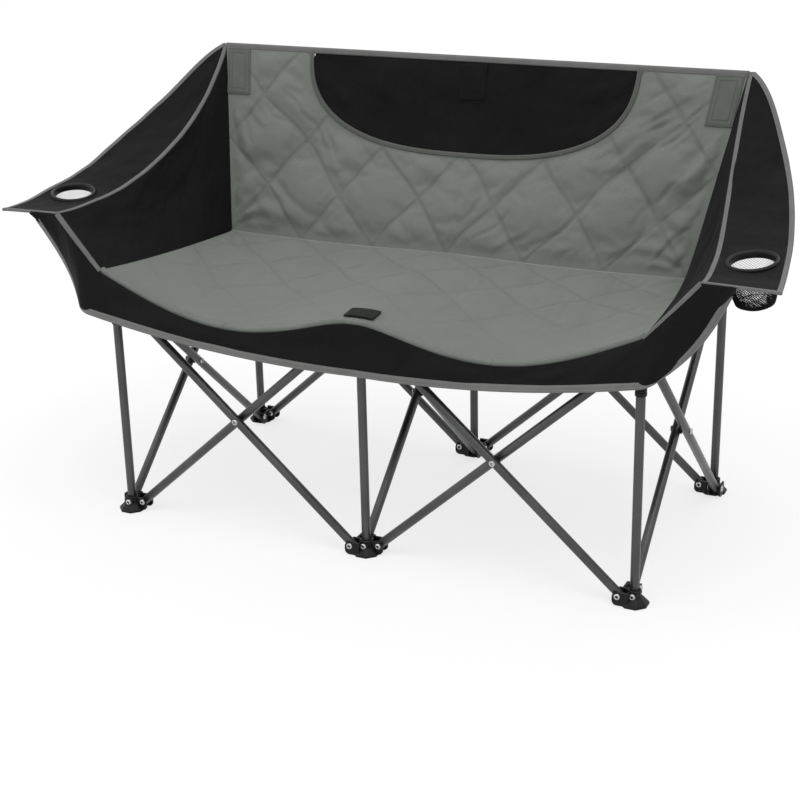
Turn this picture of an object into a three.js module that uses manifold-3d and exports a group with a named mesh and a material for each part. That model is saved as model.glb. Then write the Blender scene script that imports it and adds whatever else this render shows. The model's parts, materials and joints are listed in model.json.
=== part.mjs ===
// Folding camping loveseat. Millimetres, +Z up, -Y is the front, the floor is Z = 0.
// Six posts stand on a two-by-one grid of square bays. A scissor pair closes each side of the
// grid, so the whole frame gathers into a bundle of upright tubes when it folds.
import * as THREE from 'three';
import { mergeVertices } from 'three/addons/utils/BufferGeometryUtils.js';
import Module from 'manifold-3d';

const wasm = await Module();
wasm.setup();

// Frame grid and tubes
const postSpacing = 500;
const tubeDiameter = 16;
const tubeWall = 1;
const tubeEndMargin = 7;
const tubeSides = 12;
const rearPostTop = 795;
const legTopUnderHubs = 37;
const slideClearance = 0.5;
const slideBottom = 60;

// Scissor pivots
const pivotOffset = 24;
const lowerPivotHeight = 18;
const upperPivotHeight = 424;
const crossingGap = 2;
const foldedTilt = 4;

// Rivets
const pinDiameter = 6;
const pinSides = 6;
const rivetHeadDiameter = 11;
const rivetHeadHeight = 1.8;
const washerDiameter = 15;
const rivetSeatGap = 0.3;
const pinClearance = 0.2;

// Feet and hubs
const footDiameter = 52;
const footRim = 4;
const footShoulder = 16;
const footHeight = 28;
const bossWall = 4;
const socketFloor = 5;
const frontHubSkirt = 18;
const rearHubSkirt = 45;
const hubCap = 4;
const hubRoof = 8;
const slidingClearance = 0.3;
const forkRoot = 5;
const forkNose = 9;
const forkPlate = 4;
const forkLip = 8;
const footForkFloor = 2;
const slotGap = 0.4;
const swingClearance = 0.9;
const bossSides = 8;

// Collars at the tops of the front legs
const collarWall = 2;
const collarGrip = 14;
const collarLip = 18;

// Cloth, placed from the posts and pivots that carry it
const clothGap = 0.4;
const postClothGap = 0.8;
const backThickness = 14;
const seatThickness = 15;
const padEdge = 6;
const backPanelThickness = 5;
const wallThickness = 4;
const armThickness = 6;
const skirtThickness = 4;
const backRise = 12;
const backOverhang = 28;
const backBow = 22;
const creaseInset = 34;
const creaseForward = 131;
const creaseOverHubs = 36;
const creaseSag = 4;
const seatOverhang = 10;
const seatFrontReach = 25;
const seatCornerOverHubs = 58;
const seatCentreOverHubs = 34;
const seatFrontSag = 66;
const seatMiddleSag = 12;
const ridgeRounding = 0.1;
const blackPanelHalfWidth = 328;
const blackPanelDrop = 172;
const armOverHubs = 153;
const armFrontReach = 22;
const armInnerOverhang = 95;
const armBorder = 18.5;
const armTipRise = -3;
const armDip = 0.4;
const armApexWidth = 10;
const wallBelly = 14;
const hemCentreUnderHubs = 75;
const hemCornerUnderHubs = 12;
const hemCornerOverhang = 30;
const hemCornerBulge = 40;
const hemCentreBulge = 6;
const skirtEndOverArm = 55;
const skirtEndHeight = 9;
const skirtEndBack = 28;
const skirtEndDroop = 8;

// Cup holders
const cupOuterDiameter = 86;
const cupRingWidth = 8;
const cupRingHeight = 13;
const cupAlongArm = 0.785;
const cupAcrossArm = 0.52;
const basketInset = 5;
const basketTaper = 7;
const basketDepth = 70;
const basketWall = 2;
const roundSides = 16;

// Cloth grids: one quilted diamond spans two cells each way
const padColumns = 16;
const seatRows = 6;
const backRows = 5;
const wallColumns = 8;
const wallRows = 3;
const armColumns = 10;
const armRows = 2;
const skirtColumns = 24;
const skirtRows = 2;
const surfaceStep = 1e-3;
const roomMargin = 0.004;
const weldDistance = 1e-4;

// Sizes that follow from the ones above
const tubeRadius = tubeDiameter / 2;
const slideRadius = tubeRadius - tubeWall - slideClearance;
const bossRadius = tubeRadius + bossWall;
const collarRadius = tubeRadius + collarWall;
const slotReach = 2 * pivotOffset;
const cupRadius = cupOuterDiameter / 2;
const stagger = tubeRadius + crossingGap / 2;
const frontY = -postSpacing / 2;
const rearY = postSpacing / 2;
const tubeSpan = postSpacing - 2 * pivotOffset;
const tubeRise = upperPivotHeight - lowerPivotHeight;
const tubeLength = Math.hypot(tubeSpan, tubeRise);
const openSlope = Math.atan2(tubeRise, tubeSpan);
const foldedSlope = Math.PI / 2 - THREE.MathUtils.degToRad(foldedTilt);
const frontLegTop = upperPivotHeight - legTopUnderHubs;
const creaseHeight = upperPivotHeight + creaseOverHubs;
const seatCornerHeight = upperPivotHeight + seatCornerOverHubs;
const seatCentreHeight = upperPivotHeight + seatCentreOverHubs;
const armHeight = upperPivotHeight + armOverHubs;
const hemCentreHeight = upperPivotHeight - hemCentreUnderHubs;
const hemCornerHeight = upperPivotHeight - hemCornerUnderHubs;
const armFrontWidth = cupOuterDiameter + 2 * armBorder;
const armInnerX = postSpacing + armInnerOverhang;
const armUnderside = armHeight - armDip - armThickness / 2 - clothGap;
const armLeastRise = armUnderside - upperPivotHeight - tubeRadius * Math.cos(openSlope);
const armCarrierX = postSpacing - pivotOffset + armLeastRise / Math.tan(openSlope);
const armCarrierRise = armLeastRise + (armTipRise * (armCarrierX - armInnerX)) / armFrontWidth;
const armReach = armCarrierRise / Math.sin(openSlope);
const seatFrontY = frontY - seatFrontReach;
const armFrontY = frontY - armFrontReach;
const creaseY = rearY - creaseForward;
const creaseHalfWidth = postSpacing - creaseInset;
const seatHalfWidth = postSpacing + seatOverhang;
const backTopHeight = rearPostTop + backRise;
const backFall = backRise / (backTopHeight - creaseHeight);
const backAtPost = rearY - tubeRadius - postClothGap - padEdge / 2;
const backTopY = (backAtPost - creaseY * backFall) / (1 - backFall);
const backHalfWidth = postSpacing + backOverhang;

// Materials
const steel = { color: 0x4a4c4e, roughness: 0.45, metalness: 0.7 };
const plastic = { color: 0x18191a, roughness: 0.55, metalness: 0 };
const rivetSteel = { color: 0x8d8f92, roughness: 0.35, metalness: 0.9 };
const greyCloth = { color: 0x70766e, roughness: 0.9, metalness: 0 };
const blackCloth = { color: 0x202021, roughness: 0.9, metalness: 0 };
const netCloth = { color: 0x2a2a2b, roughness: 0.85, metalness: 0 };

const loveseat = new THREE.Group();

// Solids for joining and cutting
function solidOf(geometry) {
  const bare = geometry.clone();
  bare.deleteAttribute('normal');
  bare.deleteAttribute('uv');
  const merged = mergeVertices(bare, weldDistance);
  const vertProperties = new Float32Array(merged.attributes.position.array);
  const triVerts = new Uint32Array(merged.index.array);
  return new wasm.Manifold(new wasm.Mesh({ numProp: 3, vertProperties, triVerts }));
}

function geometryOf(solid) {
  const mesh = solid.getMesh();
  const geometry = new THREE.BufferGeometry();
  geometry.setAttribute('position', new THREE.BufferAttribute(new Float32Array(mesh.vertProperties), 3));
  geometry.setIndex(new THREE.BufferAttribute(new Uint32Array(mesh.triVerts), 1));
  geometry.computeVertexNormals();
  return geometry;
}

function largestBody(solid) {
  return solid.decompose().reduce((best, body) => (body.volume() > best.volume() ? body : best));
}

function addMesh(name, geometry, look) {
  const mesh = new THREE.Mesh(geometry, new THREE.MeshStandardMaterial(look));
  mesh.name = name;
  loveseat.add(mesh);
  return mesh;
}

// A ring or rod turned about Z from (radius, height) pairs that close on the axis or on themselves
function turned(profile, sides) {
  const points = profile.map(([radius, height]) => new THREE.Vector2(radius, height));
  return new THREE.LatheGeometry(points, sides).rotateX(Math.PI / 2);
}

function pipe(outerRadius, innerRadius, bottom, top, sides) {
  const wall = [
    [innerRadius, bottom],
    [outerRadius, bottom],
    [outerRadius, top],
    [innerRadius, top],
    [innerRadius, bottom],
  ];
  return turned(wall, sides);
}

function rod(radius, bottom, top, sides) {
  return turned([[0, bottom], [radius, bottom], [radius, top], [0, top]], sides);
}

function box(low, high) {
  const size = high.map((value, axis) => value - low[axis]);
  const middle = high.map((value, axis) => (value + low[axis]) / 2);
  return new THREE.BoxGeometry(...size).translate(...middle);
}

// Posts: columns run left to right, rows front to rear
const postNames = ['front_left', 'front_centre', 'front_right', 'rear_left', 'rear_centre', 'rear_right'];
const columnOf = { left: -1, centre: 0, right: 1 };
const rowOf = { front: -1, rear: 1 };

function postPlace(name) {
  const [row, column] = name.split('_');
  return new THREE.Vector3(columnOf[column] * postSpacing, (rowOf[row] * postSpacing) / 2, 0);
}

// Scissor tubes: each runs from one post's foot to the next post's hub, on one side of the post plane
const scissorTubes = [
  { name: 'rear_left_tube_a', foot: 'rear_centre', hub: 'rear_left', side: -1 },
  { name: 'rear_left_tube_b', foot: 'rear_left', hub: 'rear_centre', side: 1 },
  { name: 'rear_right_tube_a', foot: 'rear_centre', hub: 'rear_right', side: 1 },
  { name: 'rear_right_tube_b', foot: 'rear_right', hub: 'rear_centre', side: -1 },
  { name: 'centre_tube_a', foot: 'rear_centre', hub: 'front_centre', side: 1 },
  { name: 'centre_tube_b', foot: 'front_centre', hub: 'rear_centre', side: -1 },
  { name: 'front_left_tube_a', foot: 'front_centre', hub: 'front_left', side: -1, carriesArm: true },
  { name: 'front_left_tube_b', foot: 'front_left', hub: 'front_centre', side: 1 },
  { name: 'front_right_tube_a', foot: 'front_centre', hub: 'front_right', side: 1, carriesArm: true },
  { name: 'front_right_tube_b', foot: 'front_right', hub: 'front_centre', side: -1 },
  { name: 'side_left_tube_a', foot: 'rear_left', hub: 'front_left', side: 1 },
  { name: 'side_left_tube_b', foot: 'front_left', hub: 'rear_left', side: -1 },
  { name: 'side_right_tube_a', foot: 'rear_right', hub: 'front_right', side: 1 },
  { name: 'side_right_tube_b', foot: 'front_right', hub: 'rear_right', side: -1 },
];

function headingBetween(from, to) {
  return postPlace(to).sub(postPlace(from)).normalize();
}

// The direction across a pair, along its rivets: +Y for pairs along X and +X for pairs along Y
function acrossPair(heading) {
  return new THREE.Vector3(Math.abs(heading.y), Math.abs(heading.x), 0);
}

function crossHole(height) {
  const radius = (pinDiameter / 2 + pinClearance) / Math.cos(Math.PI / pinSides);
  const bit = new THREE.CylinderGeometry(radius, radius, 2 * tubeDiameter, pinSides);
  return solidOf(bit.rotateZ(Math.PI / 2).translate(0, 0, height));
}

function addScissorTube(tube) {
  const heading = headingBetween(tube.foot, tube.hub);
  const across = acrossPair(heading);
  const along = heading.clone().multiplyScalar(tubeSpan).setZ(tubeRise).normalize();
  const top = tubeLength + (tube.carriesArm ? armReach : tubeEndMargin);
  let solid = solidOf(pipe(tubeRadius, tubeRadius - tubeWall, -tubeEndMargin, top, tubeSides));
  for (const height of [0, tubeLength / 2, tubeLength]) {
    solid = solid.subtract(crossHole(height));
  }
  const mesh = addMesh(tube.name, geometryOf(solid), steel);
  const basis = new THREE.Matrix4().makeBasis(across, along.clone().cross(across), along);
  mesh.quaternion.setFromRotationMatrix(basis);
  mesh.position.copy(postPlace(tube.foot));
  mesh.position.addScaledVector(heading, pivotOffset).addScaledVector(across, tube.side * stagger);
  mesh.position.z = lowerPivotHeight;
}

// One rivet holds each pair at its crossing, with a washer between the two tubes
function addCrossingRivet(tube) {
  const across = acrossPair(headingBetween(tube.foot, tube.hub));
  const headSeat = stagger + tubeRadius + rivetSeatGap;
  const halfWasher = crossingGap / 2 - rivetSeatGap;
  const half = [
    [washerDiameter / 2, halfWasher],
    [pinDiameter / 2, halfWasher],
    [pinDiameter / 2, headSeat],
    [rivetHeadDiameter / 2, headSeat],
    [rivetHeadDiameter / 2, headSeat + rivetHeadHeight],
    [0, headSeat + rivetHeadHeight],
  ];
  const mirrored = half.map(([radius, height]) => [radius, -height]).reverse();
  const geometry = turned([...mirrored, ...half], pinSides);
  const mesh = addMesh(tube.name.replace('tube_a', 'crossing_rivet'), geometry, rivetSteel);
  mesh.quaternion.setFromUnitVectors(new THREE.Vector3(0, 0, 1), across);
  mesh.position.copy(postPlace(tube.foot)).add(postPlace(tube.hub)).multiplyScalar(0.5);
  mesh.position.z = (lowerPivotHeight + upperPivotHeight) / 2;
}

// A wedge that a tube sweeps about its pivot, between two slopes, in the plane of its pair
function swingWedge(pivot, fromSlope, toSlope) {
  const halfWidth = tubeRadius + slotGap;
  const tipReach = slotReach / Math.cos((toSlope - fromSlope) / 2) + halfWidth;
  const ray = (slope, distance, aside) => [
    pivot.x + distance * Math.cos(slope) - aside * Math.sin(slope),
    pivot.y + distance * Math.sin(slope) + aside * Math.cos(slope),
  ];
  const outline = [
    ray(fromSlope, 0, -halfWidth),
    ray(fromSlope, slotReach, -halfWidth),
    ray((fromSlope + toSlope) / 2, tipReach, 0),
    ray(toSlope, slotReach, halfWidth),
    ray(toSlope, 0, halfWidth),
  ];
  return new THREE.Shape(outline.map(([x, y]) => new THREE.Vector2(x, y)));
}

// A fork for one tube end, in the post's own frame: the block, the slots to cut and the pin to add.
// The heading points from this post towards the tube's other post.
function forkParts({ heading, across, side, pivotHeight, bottom, top, slopes, armSlopes }) {
  const turn = Math.atan2(heading.y, heading.x);
  const leftOfHeading = new THREE.Vector3(-heading.y, heading.x, 0);
  const hand = side * Math.sign(across.dot(leftOfHeading));
  const slotHalf = tubeRadius + slotGap;
  const plateHalf = slotHalf + forkPlate;
  const centre = hand * stagger;
  const pivot = new THREE.Vector2(pivotOffset, pivotHeight);
  const place = (geometry) => solidOf(geometry.rotateZ(turn));
  const nose = pivotOffset + forkNose;
  const block = place(box([forkRoot, centre - plateHalf, bottom], [nose, centre + plateHalf, top]));
  const slice = (shape) => {
    const slab = new THREE.ExtrudeGeometry(shape, { depth: 2 * slotHalf, bevelEnabled: false });
    return place(slab.rotateX(Math.PI / 2).translate(0, centre + slotHalf, 0));
  };
  const slots = [slice(swingWedge(pivot, ...slopes))];
  if (armSlopes) {
    slots.push(slice(swingWedge(pivot, ...armSlopes)));
  }
  const endSwing = Math.hypot(tubeEndMargin, tubeRadius) + swingClearance;
  const endReach = endSwing / Math.cos(Math.PI / bossSides);
  const endRoom = new THREE.CylinderGeometry(endReach, endReach, 2 * slotHalf, bossSides);
  slots.push(place(endRoom.translate(pivotOffset, centre, pivotHeight)));
  const shank = pinDiameter / 2;
  const head = rivetHeadDiameter / 2;
  const sink = forkPlate / 2;
  const outside = centre + hand * (plateHalf + rivetHeadHeight / 2 - sink / 2);
  const pin = new THREE.CylinderGeometry(shank, shank, 2 * (slotHalf + sink), pinSides);
  const cap = new THREE.CylinderGeometry(head, head, rivetHeadHeight + sink, pinSides);
  const pins = [
    place(pin.translate(pivotOffset, centre, pivotHeight)),
    place(cap.translate(pivotOffset, outside, pivotHeight)),
  ];
  return { block, slots, pins };
}

function forkedBody(body, forks, bore) {
  let solid = body;
  for (const fork of forks) {
    solid = solid.add(fork.block);
  }
  for (const slot of forks.flatMap((fork) => fork.slots)) {
    solid = solid.subtract(slot);
  }
  solid = solid.subtract(bore);
  for (const pin of forks.flatMap((fork) => fork.pins)) {
    solid = solid.add(pin);
  }
  return solid;
}

function addFoot(name) {
  const base = turned([
    [0, 0],
    [footDiameter / 2, 0],
    [footDiameter / 2, footRim],
    [bossRadius, footShoulder],
    [0, footShoulder],
  ], bossSides);
  const boss = rod(bossRadius, 0, footHeight, bossSides);
  const socket = rod(tubeRadius + slidingClearance, socketFloor, 2 * footHeight, tubeSides);
  const forks = scissorTubes.filter((tube) => tube.foot === name).map((tube) => {
    const heading = headingBetween(name, tube.hub);
    return forkParts({
      heading,
      across: acrossPair(heading),
      side: tube.side,
      pivotHeight: lowerPivotHeight,
      bottom: footForkFloor,
      top: lowerPivotHeight + forkLip,
      slopes: [openSlope, foldedSlope],
    });
  });
  const solid = forkedBody(solidOf(base).add(solidOf(boss)), forks, solidOf(socket));
  addMesh(`foot_${name}`, geometryOf(solid), plastic).position.copy(postPlace(name));
}

// Front hubs cap their inner tubes and rear hubs slide on their posts
function addHub(name) {
  const front = name.startsWith('front');
  const bottom = upperPivotHeight - (front ? frontHubSkirt : rearHubSkirt);
  const top = upperPivotHeight + hubCap;
  const boreRadius = (front ? slideRadius : tubeRadius) + slidingClearance;
  const boreTop = front ? upperPivotHeight - hubRoof : 2 * top;
  const bore = rod(boreRadius, 0, boreTop, tubeSides);
  const forks = scissorTubes.filter((tube) => tube.hub === name).map((tube) => {
    const heading = headingBetween(name, tube.foot);
    return forkParts({
      heading,
      across: acrossPair(heading),
      side: tube.side,
      pivotHeight: upperPivotHeight,
      bottom: upperPivotHeight - forkNose - forkLip,
      top: upperPivotHeight + forkLip,
      slopes: [-foldedSlope, -openSlope],
      armSlopes: tube.carriesArm ? [Math.PI - foldedSlope, Math.PI - openSlope] : null,
    });
  });
  const body = solidOf(rod(bossRadius, bottom, top, bossSides));
  const solid = largestBody(forkedBody(body, forks, solidOf(bore)));
  addMesh(`hub_${name}`, geometryOf(solid), plastic).position.copy(postPlace(name));
}

function addPost(name) {
  const bottom = socketFloor + slidingClearance;
  const innerRadius = tubeRadius - tubeWall;
  if (name.startsWith('rear')) {
    const post = pipe(tubeRadius, innerRadius, bottom, rearPostTop, tubeSides);
    addMesh(`post_${name}`, post, steel).position.copy(postPlace(name));
    return;
  }
  const leg = pipe(tubeRadius, innerRadius, bottom, frontLegTop, tubeSides);
  addMesh(`leg_${name}`, leg, steel).position.copy(postPlace(name));
  const slideTop = upperPivotHeight - hubRoof - slidingClearance;
  const slide = pipe(slideRadius, slideRadius - tubeWall, slideBottom, slideTop, tubeSides);
  addMesh(`slide_${name}`, slide, steel).position.copy(postPlace(name));
  const gripRadius = tubeRadius + slidingClearance;
  const lipRadius = slideRadius + slidingClearance;
  const shoulder = frontLegTop + slidingClearance;
  const collar = turned([
    [gripRadius, frontLegTop - collarGrip],
    [collarRadius, frontLegTop - collarGrip],
    [collarRadius, frontLegTop + collarLip],
    [lipRadius, frontLegTop + collarLip],
    [lipRadius, shoulder],
    [gripRadius, shoulder],
    [gripRadius, frontLegTop - collarGrip],
  ], tubeSides);
  addMesh(`collar_${name}`, collar, plastic).position.copy(postPlace(name));
}

// A closed sheet round a surface point(u, v), with u and v from 0 to 1. Its faces run along the
// diagonals that a quilted diamond is sewn on. A grown sheet cuts a gap into its neighbours.
function sheet({ columns, rows, point, thickness, grow = 0 }) {
  const margin = grow > 0 ? roomMargin : 0;
  const stretched = (index, count) => {
    if (index === 0) {
      return -margin;
    }
    return index === count ? 1 + margin : index / count;
  };
  const positions = [];
  const faces = [];
  const across = columns + 1;
  const layer = across * (rows + 1);
  for (const face of [1, -1]) {
    for (let row = 0; row <= rows; row += 1) {
      for (let column = 0; column <= columns; column += 1) {
        const u = stretched(column, columns);
        const v = stretched(row, rows);
        const alongU = point(u + surfaceStep, v).sub(point(u - surfaceStep, v));
        const alongV = point(u, v + surfaceStep).sub(point(u, v - surfaceStep));
        const normal = alongU.cross(alongV).normalize();
        const half = thickness(column, row) / 2 + grow;
        positions.push(...point(u, v).addScaledVector(normal, face * half).toArray());
      }
    }
  }
  const quad = (a, b, c, d, flip) => {
    const pair = flip ? [[a, b, d], [b, c, d]] : [[a, b, c], [a, c, d]];
    faces.push(...pair.flat());
  };
  for (let row = 0; row < rows; row += 1) {
    for (let column = 0; column < columns; column += 1) {
      const a = row * across + column;
      const corners = [a, a + 1, a + across + 1, a + across];
      const flip = (row + column) % 2 === 1;
      quad(...corners, flip);
      const under = corners.map((corner) => corner + layer);
      quad(under[1], under[0], under[3], under[2], !flip);
    }
  }
  const rim = [];
  for (let column = 0; column < columns; column += 1) {
    rim.push(column);
  }
  for (let row = 0; row < rows; row += 1) {
    rim.push(row * across + columns);
  }
  for (let column = columns; column > 0; column -= 1) {
    rim.push(rows * across + column);
  }
  for (let row = rows; row > 0; row -= 1) {
    rim.push(row * across);
  }
  rim.forEach((corner, index) => {
    const next = rim[(index + 1) % rim.length];
    quad(next, corner, corner + layer, next + layer, false);
  });
  const geometry = new THREE.BufferGeometry();
  geometry.setAttribute('position', new THREE.Float32BufferAttribute(positions, 3));
  geometry.setIndex(faces);
  return solidOf(geometry);
}

// Quilting: diamond centres swell to the full thickness, sewn corners and edges stay thin
function quilted(columns, rows, full) {
  return (column, row) => {
    const onEdge = column === 0 || row === 0 || column === columns || row === rows;
    const sewn = (column + row) % 2 === 0;
    return onEdge || sewn ? padEdge : full;
  };
}

function even(thickness) {
  return () => thickness;
}

// Two lobes across the seat: none at the sides, little at the middle where a post lifts the cloth
function lobes(side) {
  const share = Math.abs(side);
  const widest = Math.hypot(1, ridgeRounding);
  const rounded = (away) => Math.sin((Math.PI * Math.hypot(away, ridgeRounding)) / widest);
  return rounded(share) - rounded(0) * (1 - share);
}

function seatPoint(u, v) {
  const side = 2 * u - 1;
  const halfWidth = THREE.MathUtils.lerp(creaseHalfWidth, seatHalfWidth, v);
  const rearHeight = creaseHeight - creaseSag * lobes(side);
  const frontLine = THREE.MathUtils.lerp(seatCentreHeight, seatCornerHeight, Math.abs(side));
  const frontHeight = frontLine - seatFrontSag * lobes(side);
  const sag = seatMiddleSag * Math.sin(Math.PI * v) * lobes(side);
  const z = THREE.MathUtils.lerp(rearHeight, frontHeight, v * v) - sag;
  return new THREE.Vector3(side * halfWidth, THREE.MathUtils.lerp(creaseY, seatFrontY, v), z - padEdge / 2);
}

function backPoint(u, v) {
  const side = 2 * u - 1;
  const halfWidth = THREE.MathUtils.lerp(creaseHalfWidth, backHalfWidth, v);
  const bow = backBow * Math.sin(Math.PI * v) ** 2 * (1 - side * side);
  const y = THREE.MathUtils.lerp(creaseY, backTopY, v) + bow;
  const z = THREE.MathUtils.lerp(creaseHeight - creaseSag * lobes(side) * (1 - v), backTopHeight, v);
  return new THREE.Vector3(side * halfWidth, y, z);
}

// The arm's inner and outer edges sweep from the back's top corner down to the arm's front edge
const backCorner = new THREE.Vector3(backHalfWidth, backTopY + padEdge / 2, backTopHeight);
const armInnerFront = new THREE.Vector3(armInnerX, armFrontY, armHeight);
const armTip = new THREE.Vector3(armInnerX + armFrontWidth, armFrontY, armHeight + armTipRise);
const innerBackHandle = new THREE.Vector3(-4, -130, -175);
const innerFrontHandle = new THREE.Vector3(-15, 200, -22);
const outerBackHandle = new THREE.Vector3(146, -155, -162);
const outerFrontHandle = new THREE.Vector3(-24, 174, -3);
const outerApex = backCorner.clone().add(new THREE.Vector3(armApexWidth, 0, 0));
const innerEdge = new THREE.CubicBezierCurve3(
  backCorner,
  backCorner.clone().add(innerBackHandle),
  armInnerFront.clone().add(innerFrontHandle),
  armInnerFront,
);
const outerEdge = new THREE.CubicBezierCurve3(
  outerApex,
  outerApex.clone().add(outerBackHandle),
  armTip.clone().add(outerFrontHandle),
  armTip,
);

function mirroredX(point, hand) {
  return point.setX(hand * point.x);
}

// The wall stands on the seat's side and reaches up to the arm's inner edge
function wallPoint(u, v, hand) {
  const foot = seatPoint(1, u);
  const head = innerEdge.getPoint(u);
  const belly = wallBelly * Math.sin(Math.PI * v) * Math.sin(Math.PI * u);
  return mirroredX(foot.lerp(head, v).add(new THREE.Vector3(belly, 0, 0)), hand);
}

function armPoint(u, v, hand) {
  return mirroredX(innerEdge.getPoint(u).lerp(outerEdge.getPoint(u), v), hand);
}

// The skirt's top follows the seat's front edge, the wall's front edge and part of the arm's front edge
const seatStretch = 0.62;
const wallStretch = 0.84;

function skirtTop(share) {
  const clear = new THREE.Vector3(0, -skirtThickness / 2 - clothGap, 0);
  const corner = seatPoint(1, 1);
  if (share < seatStretch) {
    return seatPoint(0.5 + share / seatStretch / 2, 1).add(clear);
  }
  if (share < wallStretch) {
    return corner.lerp(armInnerFront, (share - seatStretch) / (wallStretch - seatStretch)).add(clear);
  }
  const out = skirtEndOverArm * (share - wallStretch) / (1 - wallStretch);
  return armInnerFront.clone().add(new THREE.Vector3(out, 0, 0)).add(clear);
}

const hemCornerX = postSpacing + hemCornerOverhang;
const hemCorner = new THREE.Vector3(hemCornerX, seatFrontY - hemCornerBulge, hemCornerHeight);
const hemCentre = new THREE.Vector3(0, seatFrontY - hemCentreBulge, hemCentreHeight);
const hemEnd = skirtTop(1).add(new THREE.Vector3(0, 0, -skirtEndHeight));
const hemCornerShare = 0.72;

function hemPoint(share) {
  if (share < hemCornerShare) {
    const t = share / hemCornerShare;
    const place = hemCentre.clone().lerp(hemCorner, t);
    place.z = THREE.MathUtils.lerp(hemCentre.z, hemCorner.z, t * t);
    return place;
  }
  const t = (share - hemCornerShare) / (1 - hemCornerShare);
  const bend = Math.sin(Math.PI * t);
  const curl = new THREE.Vector3(0, skirtEndBack * bend, -skirtEndDroop * bend);
  return hemCorner.clone().lerp(hemEnd, t).add(curl);
}

function skirtPoint(u, v) {
  const side = 2 * u - 1;
  const share = Math.min(Math.abs(side), 1);
  return mirroredX(hemPoint(share).lerp(skirtTop(share), v), side < 0 ? -1 : 1);
}

function cutBy(solid, cutters) {
  return largestBody(cutters.reduce((left, cutter) => left.subtract(cutter), solid));
}

function halfEllipse(grow) {
  const shape = new THREE.Shape();
  const headroom = 2 * blackPanelDrop;
  const halfWidth = blackPanelHalfWidth + grow;
  shape.moveTo(halfWidth, headroom);
  shape.lineTo(-halfWidth, headroom);
  shape.absellipse(0, 0, halfWidth, blackPanelDrop + grow, Math.PI, 2 * Math.PI, false, 0);
  const depth = 2 * postSpacing;
  const prism = new THREE.ExtrudeGeometry(shape, { depth, bevelEnabled: false, curveSegments: roundSides });
  return solidOf(prism.rotateX(Math.PI / 2).translate(0, depth / 2, backTopHeight));
}

// The seat is sewn from four panels, so that it pleats between the posts when the frame folds
const seatPanels = ['seat_outer_left', 'seat_inner_left', 'seat_inner_right', 'seat_outer_right'];

function addSeatPanels(seat) {
  const width = postSpacing / 2;
  const beyond = 2 * seatHalfWidth;
  seatPanels.forEach((name, index) => {
    const fromSeam = index - seatPanels.length / 2;
    const left = index === 0 ? -beyond : fromSeam * width + clothGap / 2;
    const right = index === seatPanels.length - 1 ? beyond : (fromSeam + 1) * width - clothGap / 2;
    const bay = solidOf(box([left, -postSpacing, 0], [right, postSpacing, backTopHeight]));
    addMesh(name, geometryOf(seat.intersect(bay)), greyCloth);
  });
}

function addCloth() {
  const seatForm = {
    columns: padColumns,
    rows: seatRows,
    point: seatPoint,
    thickness: quilted(padColumns, seatRows, seatThickness),
  };
  const backForm = {
    columns: padColumns,
    rows: backRows,
    point: backPoint,
    thickness: quilted(padColumns, backRows, backThickness),
  };
  const seatRoom = sheet({ ...seatForm, grow: clothGap });
  const backRoom = sheet({ ...backForm, grow: clothGap });
  const panelSheet = sheet({ ...backForm, thickness: even(backPanelThickness) });
  addSeatPanels(sheet(seatForm));
  const backPad = cutBy(sheet(backForm), [seatRoom, halfEllipse(clothGap)]);
  addMesh('back_pad', geometryOf(backPad), greyCloth);
  addMesh('back_black_panel', geometryOf(panelSheet.intersect(halfEllipse(0))), blackCloth);
  const sideRooms = [];
  for (const [label, hand] of [['left', -1], ['right', 1]]) {
    const along = (u) => (hand < 0 ? 1 - u : u);
    const wallForm = {
      columns: wallColumns,
      rows: wallRows,
      point: (u, v) => wallPoint(along(u), v, hand),
      thickness: even(wallThickness),
    };
    const armForm = {
      columns: armColumns,
      rows: armRows,
      point: (u, v) => armPoint(along(u), v, hand),
      thickness: even(armThickness),
    };
    const wallRoom = sheet({ ...wallForm, grow: clothGap });
    const wall = cutBy(sheet(wallForm), [seatRoom, backRoom]);
    addMesh(`side_wall_${label}`, geometryOf(wall), blackCloth);
    const cup = cupPlace(hand);
    const ringRoom = rod(cupRadius + clothGap, -cupRingHeight, cupRingHeight, roundSides);
    const arm = cutBy(sheet(armForm), [wallRoom, backRoom, solidOf(ringRoom.applyMatrix4(cup))]);
    addMesh(`arm_panel_${label}`, geometryOf(arm), blackCloth);
    sideRooms.push(wallRoom, sheet({ ...armForm, grow: clothGap }));
    addCupHolder(label, cup);
  }
  const skirtForm = {
    columns: skirtColumns,
    rows: skirtRows,
    point: skirtPoint,
    thickness: even(skirtThickness),
  };
  const skirt = cutBy(sheet(skirtForm), [seatRoom, ...sideRooms]);
  addMesh('front_skirt', geometryOf(skirt), blackCloth);
}

// A cup holder stands square to the arm panel where it is let in
function cupPlace(hand) {
  const at = (alongStep, acrossStep) => {
    const u = cupAlongArm + alongStep * surfaceStep;
    const v = cupAcrossArm + acrossStep * surfaceStep;
    return armPoint(u, v, 1);
  };
  const up = at(1, 0).sub(at(-1, 0)).cross(at(0, 1).sub(at(0, -1))).normalize();
  const centre = mirroredX(at(0, 0), hand);
  const turn = new THREE.Quaternion().setFromUnitVectors(new THREE.Vector3(0, 0, 1), mirroredX(up, hand));
  return new THREE.Matrix4().compose(centre, turn, new THREE.Vector3(1, 1, 1));
}

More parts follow.
